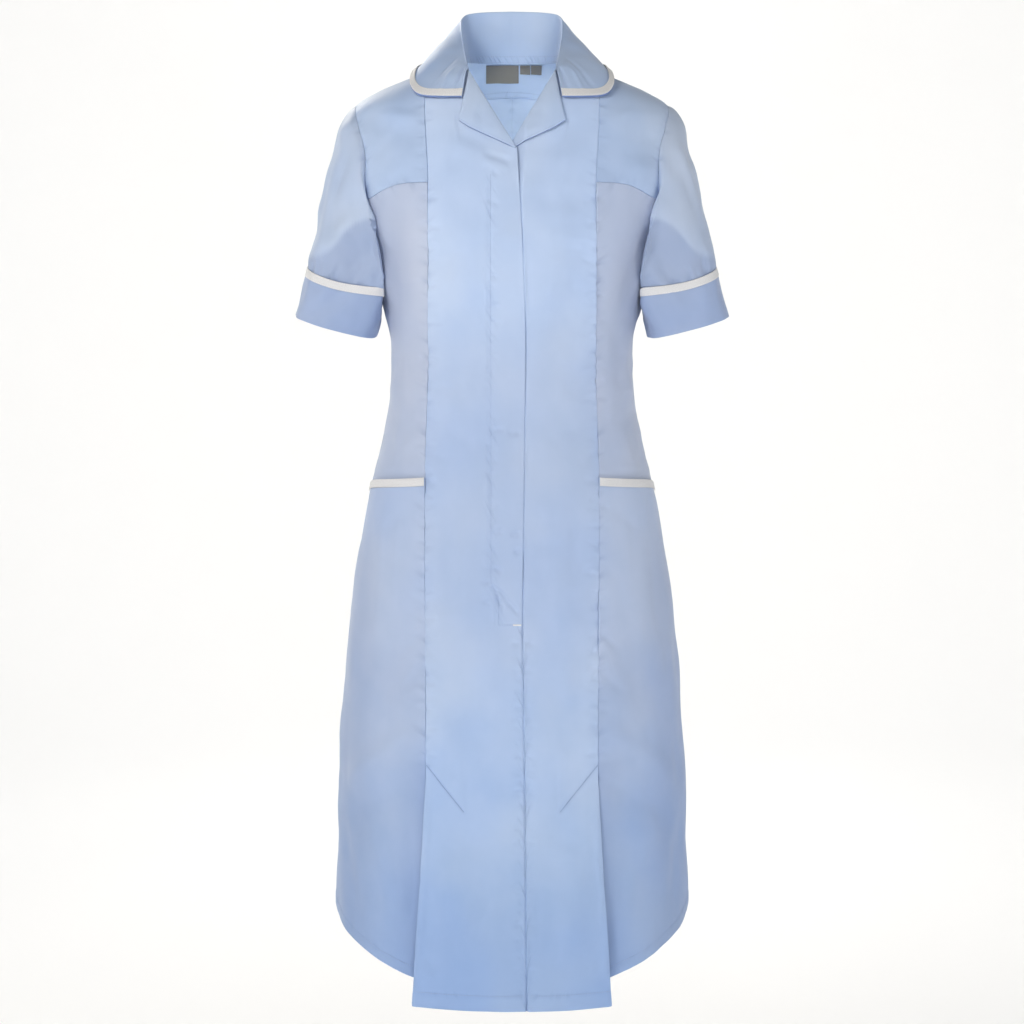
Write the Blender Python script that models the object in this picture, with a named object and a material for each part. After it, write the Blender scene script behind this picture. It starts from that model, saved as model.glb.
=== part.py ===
"""A nurse's uniform dress, hollow and held in the shape it has when it is worn.

Metres, +Z up. The front faces -Y and the wearer's right is at -X. The origin is the
centre of the neck at the height where the shoulder seams meet the collar.

Every piece is a wall of cloth between two faces: an outer face worked out from the
body's sections, and the same points moved in along the body's own normals, so that
pieces sewn edge to edge stay parallel and a seam's gap apart.
"""

import math

import bmesh
import bpy
import numpy as np

CLOTH = 0.0012  # thickness of a wall of dress cloth
TAPE = 0.0010  # thickness of a wall of tape or label
SEAM = 0.0003  # gap between pieces sewn edge to edge
REST = 0.0004  # gap between a piece and the one it lies on
TAPE_WIDTH = 0.0092

FRONT_POWER = 2.3  # squareness of the sections, 2 is an ellipse
BACK_POWER = 2.25

# The body's level sections
# height, half width, depth forward, depth back
BODY = (
    (0.0600, 0.0040, 0.020, 0.030),
    (0.0120, 0.0300, 0.048, 0.064),
    (0.0050, 0.0486, 0.056, 0.073),
    (-0.0040, 0.0800, 0.064, 0.080),
    (-0.0110, 0.1040, 0.070, 0.085),
    (-0.0185, 0.1240, 0.076, 0.090),
    (-0.0265, 0.1430, 0.081, 0.095),
    (-0.0417, 0.1684, 0.089, 0.101),
    (-0.0550, 0.1780, 0.095, 0.105),
    (-0.0750, 0.1850, 0.103, 0.110),
    (-0.1100, 0.1870, 0.117, 0.115),
    (-0.1400, 0.1830, 0.127, 0.118),
    (-0.1800, 0.1710, 0.136, 0.117),
    (-0.2220, 0.1520, 0.137, 0.112),
    (-0.2600, 0.1425, 0.127, 0.103),
    (-0.2980, 0.1342, 0.114, 0.094),
    (-0.3300, 0.1334, 0.106, 0.090),
    (-0.3600, 0.1356, 0.106, 0.092),
    (-0.4100, 0.1447, 0.115, 0.102),
    (-0.4600, 0.1573, 0.125, 0.114),
    (-0.5130, 0.1676, 0.132, 0.122),
    (-0.5600, 0.1757, 0.137, 0.126),
    (-0.6160, 0.1835, 0.142, 0.130),
    (-0.7000, 0.1910, 0.148, 0.135),
    (-0.8000, 0.1960, 0.156, 0.141),
    (-0.9000, 0.2007, 0.164, 0.148),
    (-1.0200, 0.2060, 0.172, 0.155),
)

# Where each seam or edge lies, as height and distance from the middle
PRINCESS = (
    (0.000, 0.0926),
    (-0.041, 0.0924),
    (-0.122, 0.0886),
    (-0.192, 0.0887),
    (-0.322, 0.0908),
    (-0.439, 0.0941),
    (-0.746, 0.0935),
    (-1.020, 0.0935),
)
FLY_EDGE = (
    (-0.087, 0.0055),
    (-0.160, 0.0098),
    (-0.298, 0.0143),
    (-0.436, 0.0128),
    (-0.590, 0.0112),
    (-0.780, 0.0135),
    (-1.020, 0.0155),
)
# How far round the body, in degrees from the centre front, and the hem's height there
SIDE_HEM = (
    (33.0, -0.9912),
    (48.7, -0.9736),
    (62.4, -0.9582),
    (77.6, -0.9450),
    (90.0, -0.9400),
    (110.0, -0.9500),
    (140.0, -0.9800),
    (180.0, -0.9960),
)
# The yoke seam of the front: fraction of the way to the armhole, and height
YOKE_SEAM = (
    (0.00, -0.1216),
    (0.25, -0.1222),
    (0.48, -0.1247),
    (0.70, -0.1313),
    (0.90, -0.1393),
    (1.00, -0.1427),
)
# The pocket mouth: fraction of the way to the side seam, and height
POCKET_MOUTH = ((0.0, -0.4368), (0.35, -0.4425), (0.75, -0.4505), (1.0, -0.4590))

# The neck's side, from the gorge to the shoulder seam: degrees round, and height
NECK_SIDE = ((36.6, -0.0073), (45.0, -0.0010), (57.0, 0.0034), (72.0, 0.0047), (90.0, 0.0050))

NECK_HALF = 0.0486
NECK_HEIGHT = 0.0050
GORGE = (0.0452, -0.0073)  # where the collar meets the lapel: across, height
BREAK = (0.0055, -0.0870)  # where the lapel starts to turn back
LAPEL_TIP = (0.0555, -0.0590)
LAPEL_ELBOW = (0.0446, -0.0660)  # a point on the lapel's lower edge
FRONT_HEM = -1.0142
FRONT_HEM_RISE = 0.0034  # from the middle of the front hem to its corners
PLEAT_TOP = -0.7460
PLEAT_EDGE = 0.1080  # the centre front's free edge at the hem, from the middle
PLEAT_FOLD = 0.0520  # the pleat's inner fold, from the middle
PLEAT_FOLD_TOP = -0.7946
FLY_END = -0.5906
FLAP = 0.025  # how far the left front reaches under the fly
FLAP_BELOW = 0.008  # and under the seam below it
POCKET_DEPTH = 0.150
POCKET_LEAD = 0.014  # the side front starts to dip this far above the mouth
PLEAT_START = 0.022  # the side piece is fully tucked this far below the pleat's top
BACK_YOKE_MIDDLE = -0.0336
BACK_YOKE_ARMHOLE = -0.0780

SHOULDER = -0.0417  # height of the armhole's top
UNDERARM = -0.2220
ARMHOLE_FRONT = 0.0755  # how far the armhole reaches forward and back
ARMHOLE_BACK = 0.0700

# The sleeve's hem, a ring tilted down towards the body
HEM_OUTER = (0.2370, -0.2690)
HEM_INNER = (0.1500, -0.2932)
HEM_FORWARD = -0.012  # the ring's middle
HEM_HALF_DEPTH = 0.058
HEM_POWER = 3.0
CUFF_OUTER = 0.0555  # how tall the cuff is there
CUFF_INNER = 0.0610
CUFF_SAG = 0.0060  # how much less it is in front and behind
# The sleeve's front inner part reaches over the body's side: fraction down the sleeve, share
FULLNESS = ((0.00, 0.00), (0.10, 0.28), (0.22, 0.85), (0.40, 1.10), (0.75, 0.87), (1.00, 0.55))
FULL_REACH = 0.0225
SLEEVE_CLEAR = 0.0035

# The collar leaf's edge from the front end over the shoulder to the back
# fraction of the way, across, forward, height
LEAF_EDGE = (
    (0.00, 0.0538, -0.0830, -0.0358),
    (0.10, 0.0700, -0.0800, -0.0362),
    (0.20, 0.0860, -0.0760, -0.0360),
    (0.26, 0.0965, -0.0720, -0.0345),
    (0.32, 0.1035, -0.0660, -0.0300),
    (0.38, 0.1070, -0.0540, -0.0235),
    (0.47, 0.1050, -0.0200, -0.0140),
    (0.58, 0.1010, 0.0300, -0.0120),
    (0.72, 0.0840, 0.0760, -0.0130),
    (0.86, 0.0450, 0.0980, -0.0120),
    (1.00, 0.0000, 0.1040, -0.0110),
)
# The fold along the top of the collar
# fraction of the way, across, forward, height
ROLL = (
    (0.00, 0.0462, -0.0600, -0.0035),
    (0.15, 0.0485, -0.0430, 0.0060),
    (0.30, 0.0510, -0.0180, 0.0180),
    (0.45, 0.0535, 0.0100, 0.0320),
    (0.60, 0.0545, 0.0420, 0.0480),
    (0.72, 0.0490, 0.0640, 0.0560),
    (0.86, 0.0270, 0.0740, 0.0592),
    (1.00, 0.0000, 0.0765, 0.0600),
)
FOLD_RADIUS = 0.0024

# Across from and to, and the bottom, of the three labels
LABELS = (
    ("label_main", -0.0279, 0.0074, -0.0170),
    ("label_size", 0.0085, 0.0208, -0.0080),
    ("label_fit", 0.0211, 0.0334, -0.0080),
)

FINISHES = {
    # linear colour, roughness
    "blue_cloth": ((0.45, 0.57, 0.79, 1.0), 0.75),
    "white_tape": ((0.84, 0.84, 0.86, 1.0), 0.80),
    "grey_label": ((0.25, 0.26, 0.28, 1.0), 0.70),
}


def curve(rows, column=1):
    """A smooth function through a table's rows that never overshoots them.

    Cubic pieces, with the harmonic mean of the neighbouring slopes at each row.
    """
    table = np.array(sorted(rows))
    place, value = table[:, 0], table[:, column]
    step = np.diff(place)
    rise = np.diff(value) / step
    slope = np.zeros(len(place))
    slope[0], slope[-1] = rise[0], rise[-1]
    same_way = rise[:-1] * rise[1:] > 0
    mean = 2 * rise[:-1] * rise[1:] / np.where(same_way, rise[:-1] + rise[1:], 1)
    slope[1:-1] = np.where(same_way, mean, 0)

    def at(where):
        where = np.clip(where, place[0], place[-1])
        i = np.clip(np.searchsorted(place, where) - 1, 0, len(step) - 1)
        t = (where - place[i]) / step[i]
        start = (1 + 2 * t) * (1 - t) ** 2 * value[i] + t * (1 - t) ** 2 * step[i] * slope[i]
        end = t * t * (3 - 2 * t) * value[i + 1] + t * t * (t - 1) * step[i] * slope[i + 1]
        return start + end

    return at


# The side pieces' columns, and the rows of the pocket below its mouth
SIDE_SHARES = np.linspace(0, 1, 7)[None, :]
POCKET_ROWS = np.array([0.0, TAPE_WIDTH, 0.028, 0.058, 0.095, POCKET_DEPTH])[:, None]

half_width = curve(BODY, 1)
depth_forward = curve(BODY, 2)
depth_back = curve(BODY, 3)
princess = curve(PRINCESS)
fly_edge = curve(FLY_EDGE)
side_hem = curve(SIDE_HEM)
neck_side = curve(NECK_SIDE)
yoke_seam = curve(YOKE_SEAM)
pocket_mouth = curve(POCKET_MOUTH)


def ease(t):
    """A smooth step from 0 to 1."""
    t = np.clip(t, 0, 1)
    return t * t * (3 - 2 * t)


def mix(a, b, t):
    return a + (b - a) * t


def join(*parts):
    """Numbers for x, y and z as points."""
    return np.stack(np.broadcast_arrays(*parts), axis=-1)


# The body's surface


def section_radius(points):
    """1 on the body's outer face, less inside it and more outside."""
    x, y, z = np.moveaxis(points, -1, 0)
    power = np.where(y < 0, FRONT_POWER, BACK_POWER)
    depth = np.where(y < 0, depth_forward(z), depth_back(z))
    return (np.abs(x / half_width(z)) ** power + np.abs(y / depth) ** power) ** (1 / power)


def clearance(points):
    """How far points are outside the body's face, and which way is out."""
    step = 1e-5
    slope = join(*[(section_radius(points + d) - section_radius(points - d)) / (2 * step)
                   for d in np.eye(3) * step])
    steep = np.linalg.norm(slope, axis=-1, keepdims=True)
    return (section_radius(points) - 1) / steep[..., 0], slope / steep


def outward(points):
    return clearance(points)[1]


def pushed_clear(points, gap, softness=0.0015):
    """Points moved out of the body until they are a gap away from its face."""
    for _ in range(4):
        distance, out = clearance(points)
        push = softness * np.logaddexp(0, (gap - distance) / softness)
        points = points + out * (push * 0.7)[..., None]
    return points


def front_at(across, height):
    """Points on the front, by their distance from the middle and their height."""
    inside = 1 - (np.abs(across) / half_width(height)) ** FRONT_POWER
    inside = np.where(inside < 3e-4, 0, inside)
    return join(across, -depth_forward(height) * inside ** (1 / FRONT_POWER), height)


def round_at(turn, height):
    """Points on the body, by the angle round from the centre front and their height."""
    s, c = np.sin(turn), np.cos(turn)
    power = np.where(c > 0, FRONT_POWER, BACK_POWER)
    depth = np.where(c > 0, depth_forward(height), depth_back(height))
    radius = (np.abs(s / half_width(height)) ** power + np.abs(c / depth) ** power) ** (-1 / power)
    return join(radius * s, -radius * c, height)


def turn_of(points):
    return np.arctan2(points[..., 0], -points[..., 1])


def shoulder_height(across):
    """Height of the shoulder seam at a distance from the middle."""
    heights = np.linspace(SHOULDER, NECK_HEIGHT, 400)
    return np.interp(across, half_width(heights)[::-1], heights[::-1])


# The armhole, an oval seen from the side and lying on the body


def armhole_at(angle):
    """Points round the armhole: 0 at the shoulder, 90 degrees forward, 180 underneath."""
    middle = (SHOULDER + UNDERARM) / 2
    height = middle + (SHOULDER - middle) * np.cos(angle)
    reach = np.where(np.sin(angle) > 0, ARMHOLE_FRONT, ARMHOLE_BACK)
    forward = -reach * np.sin(angle)
    power = np.where(forward < 0, FRONT_POWER, BACK_POWER)
    depth = np.where(forward < 0, depth_forward(height), depth_back(height))
    across = half_width(height) * (1 - np.abs(forward / depth) ** power) ** (1 / power)
    return join(across, forward, height)


def armhole_angle(height, front=True):
    """The angle round the armhole at a height, on its front or its back."""
    middle = (SHOULDER + UNDERARM) / 2
    angle = np.arccos(np.clip((height - middle) / (SHOULDER - middle), -1, 1))
    return angle if front else 2 * math.pi - angle


def body_edge_turn(height, front=True):
    """How far round a front or back piece reaches: the armhole, and the side seam below it."""
    turn = turn_of(armhole_at(armhole_angle(height, front)))
    return np.where(height > UNDERARM, turn, math.pi / 2)


# Walls of cloth


def drawn_in(face, ring):
    """The face with its edges pulled in by half a seam's gap."""
    face = face.copy()

    def pull(edge, beside):
        way = beside - edge
        return edge + way / np.linalg.norm(way, axis=-1, keepdims=True) * (SEAM / 2)

    face[0], face[-1] = pull(face[0], face[1]), pull(face[-1], face[-2])
    if not ring:
        face[:, 0], face[:, -1] = pull(face[:, 0], face[:, 1]), pull(face[:, -1], face[:, -2])
    return face


def cloth(name, face, out, thickness=CLOTH, finish="blue_cloth", ring=False):
    """A closed wall from a grid of points and the directions that point out of it.

    Its back is the face moved in by the thickness, and a strip closes each edge.
    """
    face = drawn_in(face, ring)
    rows, columns = face.shape[:2]
    count = rows * columns
    points = np.concatenate([face.reshape(-1, 3), (face - out * thickness).reshape(-1, 3)])
    index = np.arange(count).reshape(rows, columns)
    if ring:
        index = np.concatenate([index, index[:, :1]], axis=1)
        edges = [index[0], index[-1][::-1]]
    else:
        edges = [np.concatenate([index[0], index[1:, -1], index[-1, -2::-1], index[-2::-1, 0]])]
    a, b, c, d = index[:-1, :-1], index[1:, :-1], index[1:, 1:], index[:-1, 1:]
    halves = np.stack([np.stack([a, b, c], axis=-1), np.stack([a, c, d], axis=-1)]).reshape(-1, 3)
    strips = [np.stack([e[:-1], e[1:], e[1:] + count, e[:-1], e[1:] + count, e[:-1] + count], axis=-1)
              for e in edges]
    strips = [strip.reshape(-1, 3) for strip in strips]
    faces = np.concatenate([halves, halves[:, ::-1] + count, *strips])
    mesh = bpy.data.meshes.new(name)
    mesh.from_pydata(points.tolist(), [], faces.tolist())
    solid = bmesh.new()
    solid.from_mesh(mesh)
    bmesh.ops.recalc_face_normals(solid, faces=solid.faces)
    solid.to_mesh(mesh)
    solid.free()
    mesh.shade_smooth()
    mesh.set_sharp_from_angle(angle=math.radians(40))
    mesh.materials.append(bpy.data.materials[finish])
    piece = bpy.data.objects.new(name, mesh)
    bpy.data.collections["nurse_dress"].objects.link(piece)
    return piece


def to_side(points, side):
    """Points of the positive side, for the wearer's left (+1) or right (-1)."""
    return points * np.array([side, 1, 1])


def grid_normals(shape, rows, columns):
    """Directions out of a surface given as a function of two numbers, by small steps."""
    step = 1e-4
    down = shape(np.clip(rows + step, 0, 1), columns) - shape(np.clip(rows - step, 0, 1), columns)
    along = shape(rows, columns + step) - shape(rows, columns - step)
    out = np.cross(along, down)
    return out / np.linalg.norm(out, axis=-1, keepdims=True)


def crowded(count, power):
    """Fractions from 0 to 1 that lie closer together near 0."""
    return np.linspace(0, 1, count + 1)[:, None] ** power


# Fronts


def levels():
    """Heights of the rows that the fronts and side pieces share at the princess seams."""
    mouth = float(pocket_mouth(0.0))
    armhole = mix(float(yoke_seam(0.0)), -0.2180, np.linspace(0, 1, 6) ** 1.2)
    waist = np.linspace(armhole[-1], mouth + POCKET_LEAD, 8)[1:]
    pocket = mouth - POCKET_ROWS[:, 0]
    skirt = np.linspace(pocket[-1], PLEAT_TOP, 5)[1:]
    pleats = np.linspace(PLEAT_TOP - PLEAT_START, FRONT_HEM, 7)
    return armhole, waist, pocket, skirt, pleats


def roll_height(across):
    """Height of the line along which the lapel turns back."""
    slope = (GORGE[1] - BREAK[1]) / (GORGE[0] + BREAK[0])
    return GORGE[1] - (GORGE[0] - across) * slope


def neck_and_shoulder():
    """Across and height of a front's top edge from the gorge to the princess seam."""
    turn = np.radians([36.6, 45.0, 57.0, 90.0])
    neck = round_at(turn, neck_side(np.degrees(turn)))
    shoulder = np.linspace(NECK_HALF, princess(0.0), 5)[1:]
    return (np.concatenate([neck[:, 0], shoulder]),
            np.concatenate([neck[:, 2], shoulder_height(shoulder)]))


def pleat_edge(height):
    """Distance of the centre front's edge from the middle: the seam, then the free edge."""
    free = np.clip((PLEAT_TOP - 0.012 - height) / (PLEAT_TOP - 0.012 - FRONT_HEM), 0, 1)
    return mix(princess(height), PLEAT_EDGE, free)


def kick(across, height):
    """How far the centre front stands out near its free edges."""
    low = ease((PLEAT_TOP - height) / (PLEAT_TOP - FRONT_HEM))
    return 0.004 * low * ease(np.abs(across) / PLEAT_EDGE)


def lap_rise(height):
    """Width over which the left front rises from under the right one: more by the lapels."""
    return mix(0.0035, 0.010, ease((height + 0.140) / 0.045))


def tucked_under(across, height):
    """How far the left front dips to pass behind the right one, across being to its left."""
    deep = mix(CLOTH + REST, 2 * CLOTH + 3 * REST + 0.0004, ease((height + 0.140) / 0.045))
    return deep * np.clip(1 - (across - fly_edge(height) - SEAM) / lap_rise(height), 0, 1)


def front_columns(side, height):
    """Where the columns of the left front lie under the right one, and where the rest start."""
    edge = fly_edge(height)
    if side < 0:
        return [], -edge
    flap = mix(FLAP, FLAP_BELOW, ease((FLY_END - height) / 0.03))
    return [edge - flap, edge - flap * 0.45, edge + SEAM], edge + SEAM + lap_rise(height)


def front_grid(side):
    """A front's points before it is moved out: columns across, by rows down."""
    armhole, waist, pocket, skirt, pleats = levels()
    low = np.concatenate([armhole, waist, pocket, skirt, pleats])[:, None]
    hidden, start = front_columns(side, np.array(BREAK[1]))
    top_start = -BREAK[0] if side < 0 else float(start)
    roll = np.linspace(top_start, GORGE[0], 6 if side < 0 else 4)[:-1]
    neck_across, neck_height = neck_and_shoulder()
    top_across = np.concatenate([roll, neck_across])
    top_height = np.concatenate([roll_height(roll), neck_height])
    even = np.linspace(0, 1, len(top_across))
    start_top = front_columns(side, top_height)[1]
    share_top = (top_across - start_top) / (princess(top_height) - start_top)
    hidden_height = roll_height(np.array([float(place) for place in hidden]))
    all_top = np.concatenate([hidden_height, top_height])[None, :]
    down = crowded(7, 1.5)[:-1]
    height = np.concatenate([mix(all_top, low[0], down), low + 0 * all_top])
    seen = height[:, len(hidden):]
    start = front_columns(side, seen)[1]
    share = mix(share_top, even, ease((top_height - seen) / 0.110))
    across = start + (pleat_edge(seen) - start) * share
    if side > 0:
        behind = [front_columns(side, height[:, i])[0][i] for i in range(len(hidden))]
        across = np.concatenate([np.stack(behind, axis=1), across], axis=1)
    height[-1] = FRONT_HEM + FRONT_HEM_RISE * (across[-1] / PLEAT_EDGE) ** 2
    return across, height


def front(side, name):
    across, height = front_grid(side)
    base = front_at(across, height)
    out = outward(base)
    lift = kick(across, height)
    if side > 0:
        lift = lift - tucked_under(across, height)
    cloth(name, to_side(base + out * lift[..., None], side), to_side(out, side))


def yoke_front(side, name):
    """The shoulder piece: from the shoulder seam down to a curved seam across the chest."""
    share = np.linspace(0, 1, 7)[None, :]
    top = shoulder_height(mix(princess(0.0), half_width(SHOULDER), share))
    down = crowded(7, 1.5)
    height = mix(top, yoke_seam(share), down)
    arm = armhole_at(armhole_angle(np.minimum(height, SHOULDER)))[..., 0]
    across = mix(princess(height), arm, share)
    seam = side_points(share, yoke_seam(share))[..., 0]
    base = front_at(across + (seam - across[-1]) * down ** 2, height)
    cloth(name, to_side(base, side), to_side(outward(base), side))


def side_points(share, height):
    """Points on the body between the princess seam and the armhole or side seam."""
    inner = turn_of(front_at(princess(height), height))
    return round_at(mix(inner, body_edge_turn(height), share), height)


def side_front(side, name):
    """From the yoke seam past the pocket mouth, then behind it as the pocket's inner layer."""
    armhole, waist, _, _, _ = levels()
    start = armhole_angle(yoke_seam(1.0))
    arm = armhole_at(np.linspace(start, math.pi, 6))[:, 2]
    side_seam = np.linspace(UNDERARM, pocket_mouth(1.0) + POCKET_LEAD, 8)[1:]
    outer = np.concatenate([arm, side_seam])[:, None]
    inner = np.concatenate([armhole, waist])[:, None]
    fraction = (outer - outer[0]) / (outer[-1] - outer[0])
    bow_top = yoke_seam(SIDE_SHARES) - mix(inner[0], outer[0], SIDE_SHARES)
    bow_low = pocket_mouth(SIDE_SHARES) + POCKET_LEAD - mix(inner[-1], outer[-1], SIDE_SHARES)
    height = mix(inner, outer, SIDE_SHARES) + mix(bow_top, bow_low, fraction)
    behind = np.concatenate([[-0.002], POCKET_ROWS[1:, 0]])[:, None]
    height = np.concatenate([height, pocket_mouth(SIDE_SHARES) - behind])
    base = side_points(SIDE_SHARES, height)
    out = outward(base)
    below = pocket_mouth(SIDE_SHARES) + POCKET_LEAD - height
    dip = (CLOTH + REST + 0.0001) * ease(below / (POCKET_LEAD - 0.002))
    cloth(name, to_side(base - out * dip[..., None], side), to_side(out, side))


def pleat_dip(height):
    """How far back the side piece's free edge tucks in behind the centre front."""
    start = (CLOTH * 2 + REST * 2) * 1.12
    below = PLEAT_TOP - height
    back_by = start * ease(below / PLEAT_START) + 0.0080 * ease(below / (PLEAT_TOP - FRONT_HEM))
    return join(0.0, back_by, 0.0)


def skirt_side_points():
    """The lower side piece, its rows level with the pocket mouth and then with the hem."""
    _, _, pocket, skirt, pleats = levels()
    mouth = pocket_mouth(SIDE_SHARES)
    bottom = side_hem(np.degrees(mix(math.radians(SIDE_HEM[0][0]), math.pi / 2, SIDE_SHARES)))
    inner = np.concatenate([skirt, pleats[:-1]])[:, None]
    fraction = (pocket[-1] - inner) / (pocket[-1] - pleats[-1])
    start = mouth - POCKET_DEPTH
    sloping = inner + (start - start[:, :1]) * (1 - fraction) + (bottom - bottom[:, :1]) * fraction
    height = np.concatenate([mouth - POCKET_ROWS, sloping, bottom])
    base = side_points(SIDE_SHARES, height)
    out = outward(base)
    from_edge = base[..., 0] - princess(height)
    tuck = pleat_dip(height) * (1 - ease(from_edge / 0.060))[..., None]
    gape = 0.0012 * np.sin(math.pi * SIDE_SHARES) * (1 - ease((mouth - height) / 0.05))
    return base + tuck + out * gape[..., None], out


def skirt_side(side, name):
    face, out = skirt_side_points()
    cloth(name, to_side(face, side), to_side(out, side))


def pocket_tape(side, name):
    """Tape over the pocket's edge: the piece's first rows, moved out."""
    face, out = skirt_side_points()
    lying = face[:2] + out[:2] * (REST + TAPE)
    cloth(name, to_side(lying, side), to_side(out[:2], side), TAPE, "white_tape")


def pleat(side, name):
    """The pleat folded behind the free edge: in from the side piece, round, and out again."""
    layers = 5
    rows = np.linspace(0, 1, 9)[:, None]
    share = np.linspace(0, 1, layers)[None, :]
    top = mix(PLEAT_FOLD_TOP, PLEAT_TOP - PLEAT_START, share)
    height = mix(top, FRONT_HEM + 0.006, rows)
    outer_across = mix(PLEAT_FOLD, pleat_edge(height) - 0.0010, share)
    inner_across = mix(PLEAT_FOLD, princess(height) - 0.0006, share)
    outer = front_at(outer_across, height)
    inner = front_at(inner_across, height)
    up, down = outward(outer), outward(inner)
    stand = kick(outer_across, height)
    front_layer = outer + up * (stand - CLOTH - REST)[..., None]
    back_layer = inner + pleat_dip(height) - down * CLOTH
    half_gap = np.linalg.norm(front_layer[:, 0] - back_layer[:, 0], axis=-1)[:, None] / 2
    middle = (front_layer[:, :1] + back_layer[:, :1]) / 2
    round_fold = np.radians([45, 90, 135])[None, :]
    way_out = up[:, :1]
    way_in = np.array([-1.0, 0.0, 0.0])
    bend = middle + way_out * (half_gap * np.cos(round_fold))[..., None] \
        + way_in * (half_gap * np.sin(round_fold))[..., None]
    bend_out = way_out * np.cos(round_fold)[..., None] + way_in * np.sin(round_fold)[..., None]
    face = np.concatenate([front_layer[:, ::-1], bend, back_layer], axis=1)
    out = np.concatenate([up[:, ::-1], bend_out, -down], axis=1)
    cloth(name, to_side(face, side), to_side(out, side))


# Lapels


def lapel(side, name):
    """Cloth turned back over the front: columns from the roll line down to its own edge."""
    start = -BREAK[0] + 0.0020
    if side < 0:
        inner = np.linspace(-BREAK[0], GORGE[0], 6)[1:]
    else:
        rise = front_columns(side, np.array(BREAK[1]))
        inner = np.concatenate([[float(rise[0][2])], np.linspace(float(rise[1]), GORGE[0], 4)])
    across = np.concatenate([[start], inner, np.linspace(GORGE[0], LAPEL_TIP[0], 4)[1:]])[None, :]
    outer_line = mix(GORGE[1], LAPEL_TIP[1] + 0.0012, (across - GORGE[0]) / (LAPEL_TIP[0] - GORGE[0]))
    top = np.where(across <= GORGE[0], roll_height(across), outer_line)
    bottom = np.interp(across, [-BREAK[0], LAPEL_ELBOW[0], LAPEL_TIP[0]],
                       [BREAK[1] - 0.0008, LAPEL_ELBOW[1], LAPEL_TIP[1]])
    share = np.linspace(0, 1, 6)[:, None]
    height = mix(top, bottom, share)
    across = across + 0 * height
    base = front_at(across, height)
    out = outward(base)
    lift = REST + CLOTH + 0.0003 + 0.0014 * ease((across - 0.030) / 0.012)
    if side > 0:
        lift = lift - tucked_under(across, height)
    face = base + out * (lift + 0 * across)[..., None]
    cloth(name, to_side(face, side), to_side(out, side))


# Back


BACK_SHARES = np.linspace(0, 1, 11)[None, :] ** 1.15


def back_yoke_seam():
    """Height of the back yoke's seam from the armhole to the centre back."""
    return mix(BACK_YOKE_MIDDLE, BACK_YOKE_ARMHOLE, (1 - BACK_SHARES) ** 1.8)


def back_points(height):
    """Points on the back between the shoulder, armhole or side seam and the centre back."""
    edge = np.where(height > SHOULDER, math.pi / 2, body_edge_turn(height, False))
    return round_at(mix(edge, math.pi, BACK_SHARES), height)


def back_yoke(name):
    """From the neck and shoulder seams down to the yoke seam, both sides in one."""
    ridge = np.array([NECK_HEIGHT, 0.0, -0.008, -0.018, -0.029, SHOULDER, -0.058, BACK_YOKE_ARMHOLE])
    fraction = ((ridge - ridge[0]) / (ridge[-1] - ridge[0]))[:, None]
    half = back_points(mix(NECK_HEIGHT, back_yoke_seam(), fraction))
    both = np.concatenate([half, to_side(half[:, -2::-1], -1)], axis=1)
    cloth(name, both, outward(both))


def back(side, name):
    """From the yoke seam to the hem, between the centre back and the armhole or side seam."""
    start = 2 * math.pi - armhole_angle(BACK_YOKE_ARMHOLE)
    arm = armhole_at(np.linspace(start, math.pi, 7))[:, 2]
    edge = np.concatenate([arm, np.linspace(UNDERARM, side_hem(90.0), 20)[1:]])[:, None]
    fraction = (edge - edge[0]) / (edge[-1] - edge[0])
    top = back_yoke_seam()
    bottom = side_hem(np.degrees(mix(math.pi / 2, math.pi, BACK_SHARES)))
    height = edge + (top - edge[0]) * (1 - fraction) + (bottom - edge[-1]) * fraction
    base = back_points(height)
    cloth(name, to_side(base, side), to_side(outward(base), side))


def label(name, left, right, bottom):
    """A flat label hanging from the neck seam, inside the back yoke."""
    height = np.linspace(NECK_HEIGHT - 0.003, bottom, 4)[:, None]
    across = np.linspace(left + SEAM, right - SEAM, 4)[None, :]
    inside = 1 - (np.abs(across) / half_width(height)) ** BACK_POWER
    base = join(across, depth_back(height) * inside ** (1 / BACK_POWER), height)
    out = outward(base)
    cloth(name, base - out * (CLOTH + 2 * REST), out, TAPE, "grey_label")


# Sleeves


def sleeve_axis():
    """The way up the sleeve: square to its hem, seen from the front."""
    tilt = np.array([HEM_INNER[0] - HEM_OUTER[0], 0, HEM_INNER[1] - HEM_OUTER[1]])
    tilt = tilt / np.linalg.norm(tilt)
    return np.array([tilt[2], 0, -tilt[0]])


def hem_ring(angle):
    """The sleeve's hem: a squarish oval, 0 outside, 90 degrees forward, 180 inside."""
    outer = np.array([HEM_OUTER[0], 0, HEM_OUTER[1]])
    inner = np.array([HEM_INNER[0], 0, HEM_INNER[1]])
    c, s = np.cos(angle), np.sin(angle)
    radius = (np.abs(c) ** HEM_POWER + np.abs(s) ** HEM_POWER) ** (-1 / HEM_POWER)
    middle = (outer + inner) / 2 + np.array([0, HEM_FORWARD, 0])
    along = (outer - inner) / 2
    forward = np.array([0, -HEM_HALF_DEPTH, 0])
    return middle + (radius * c)[..., None] * along + (radius * s)[..., None] * forward


def cuff_tall(angle):
    return mix(CUFF_OUTER, CUFF_INNER, (1 - np.cos(angle)) / 2) - CUFF_SAG * np.sin(angle) ** 2


def fuller(share, rows, angle):
    """How the sleeve's inner corners reach inwards, more in front than behind."""
    turn, middle = np.degrees(angle), 118 + 18 * (rows - 0.5)
    ahead = share * FULL_REACH * np.exp(-((turn - middle) / 28) ** 2)
    behind = share * FULL_REACH * 0.5 * np.exp(-((360 - turn - middle) / 28) ** 2)
    return join(-ahead - behind, 0.4 * (behind - ahead), 0.0)


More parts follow.
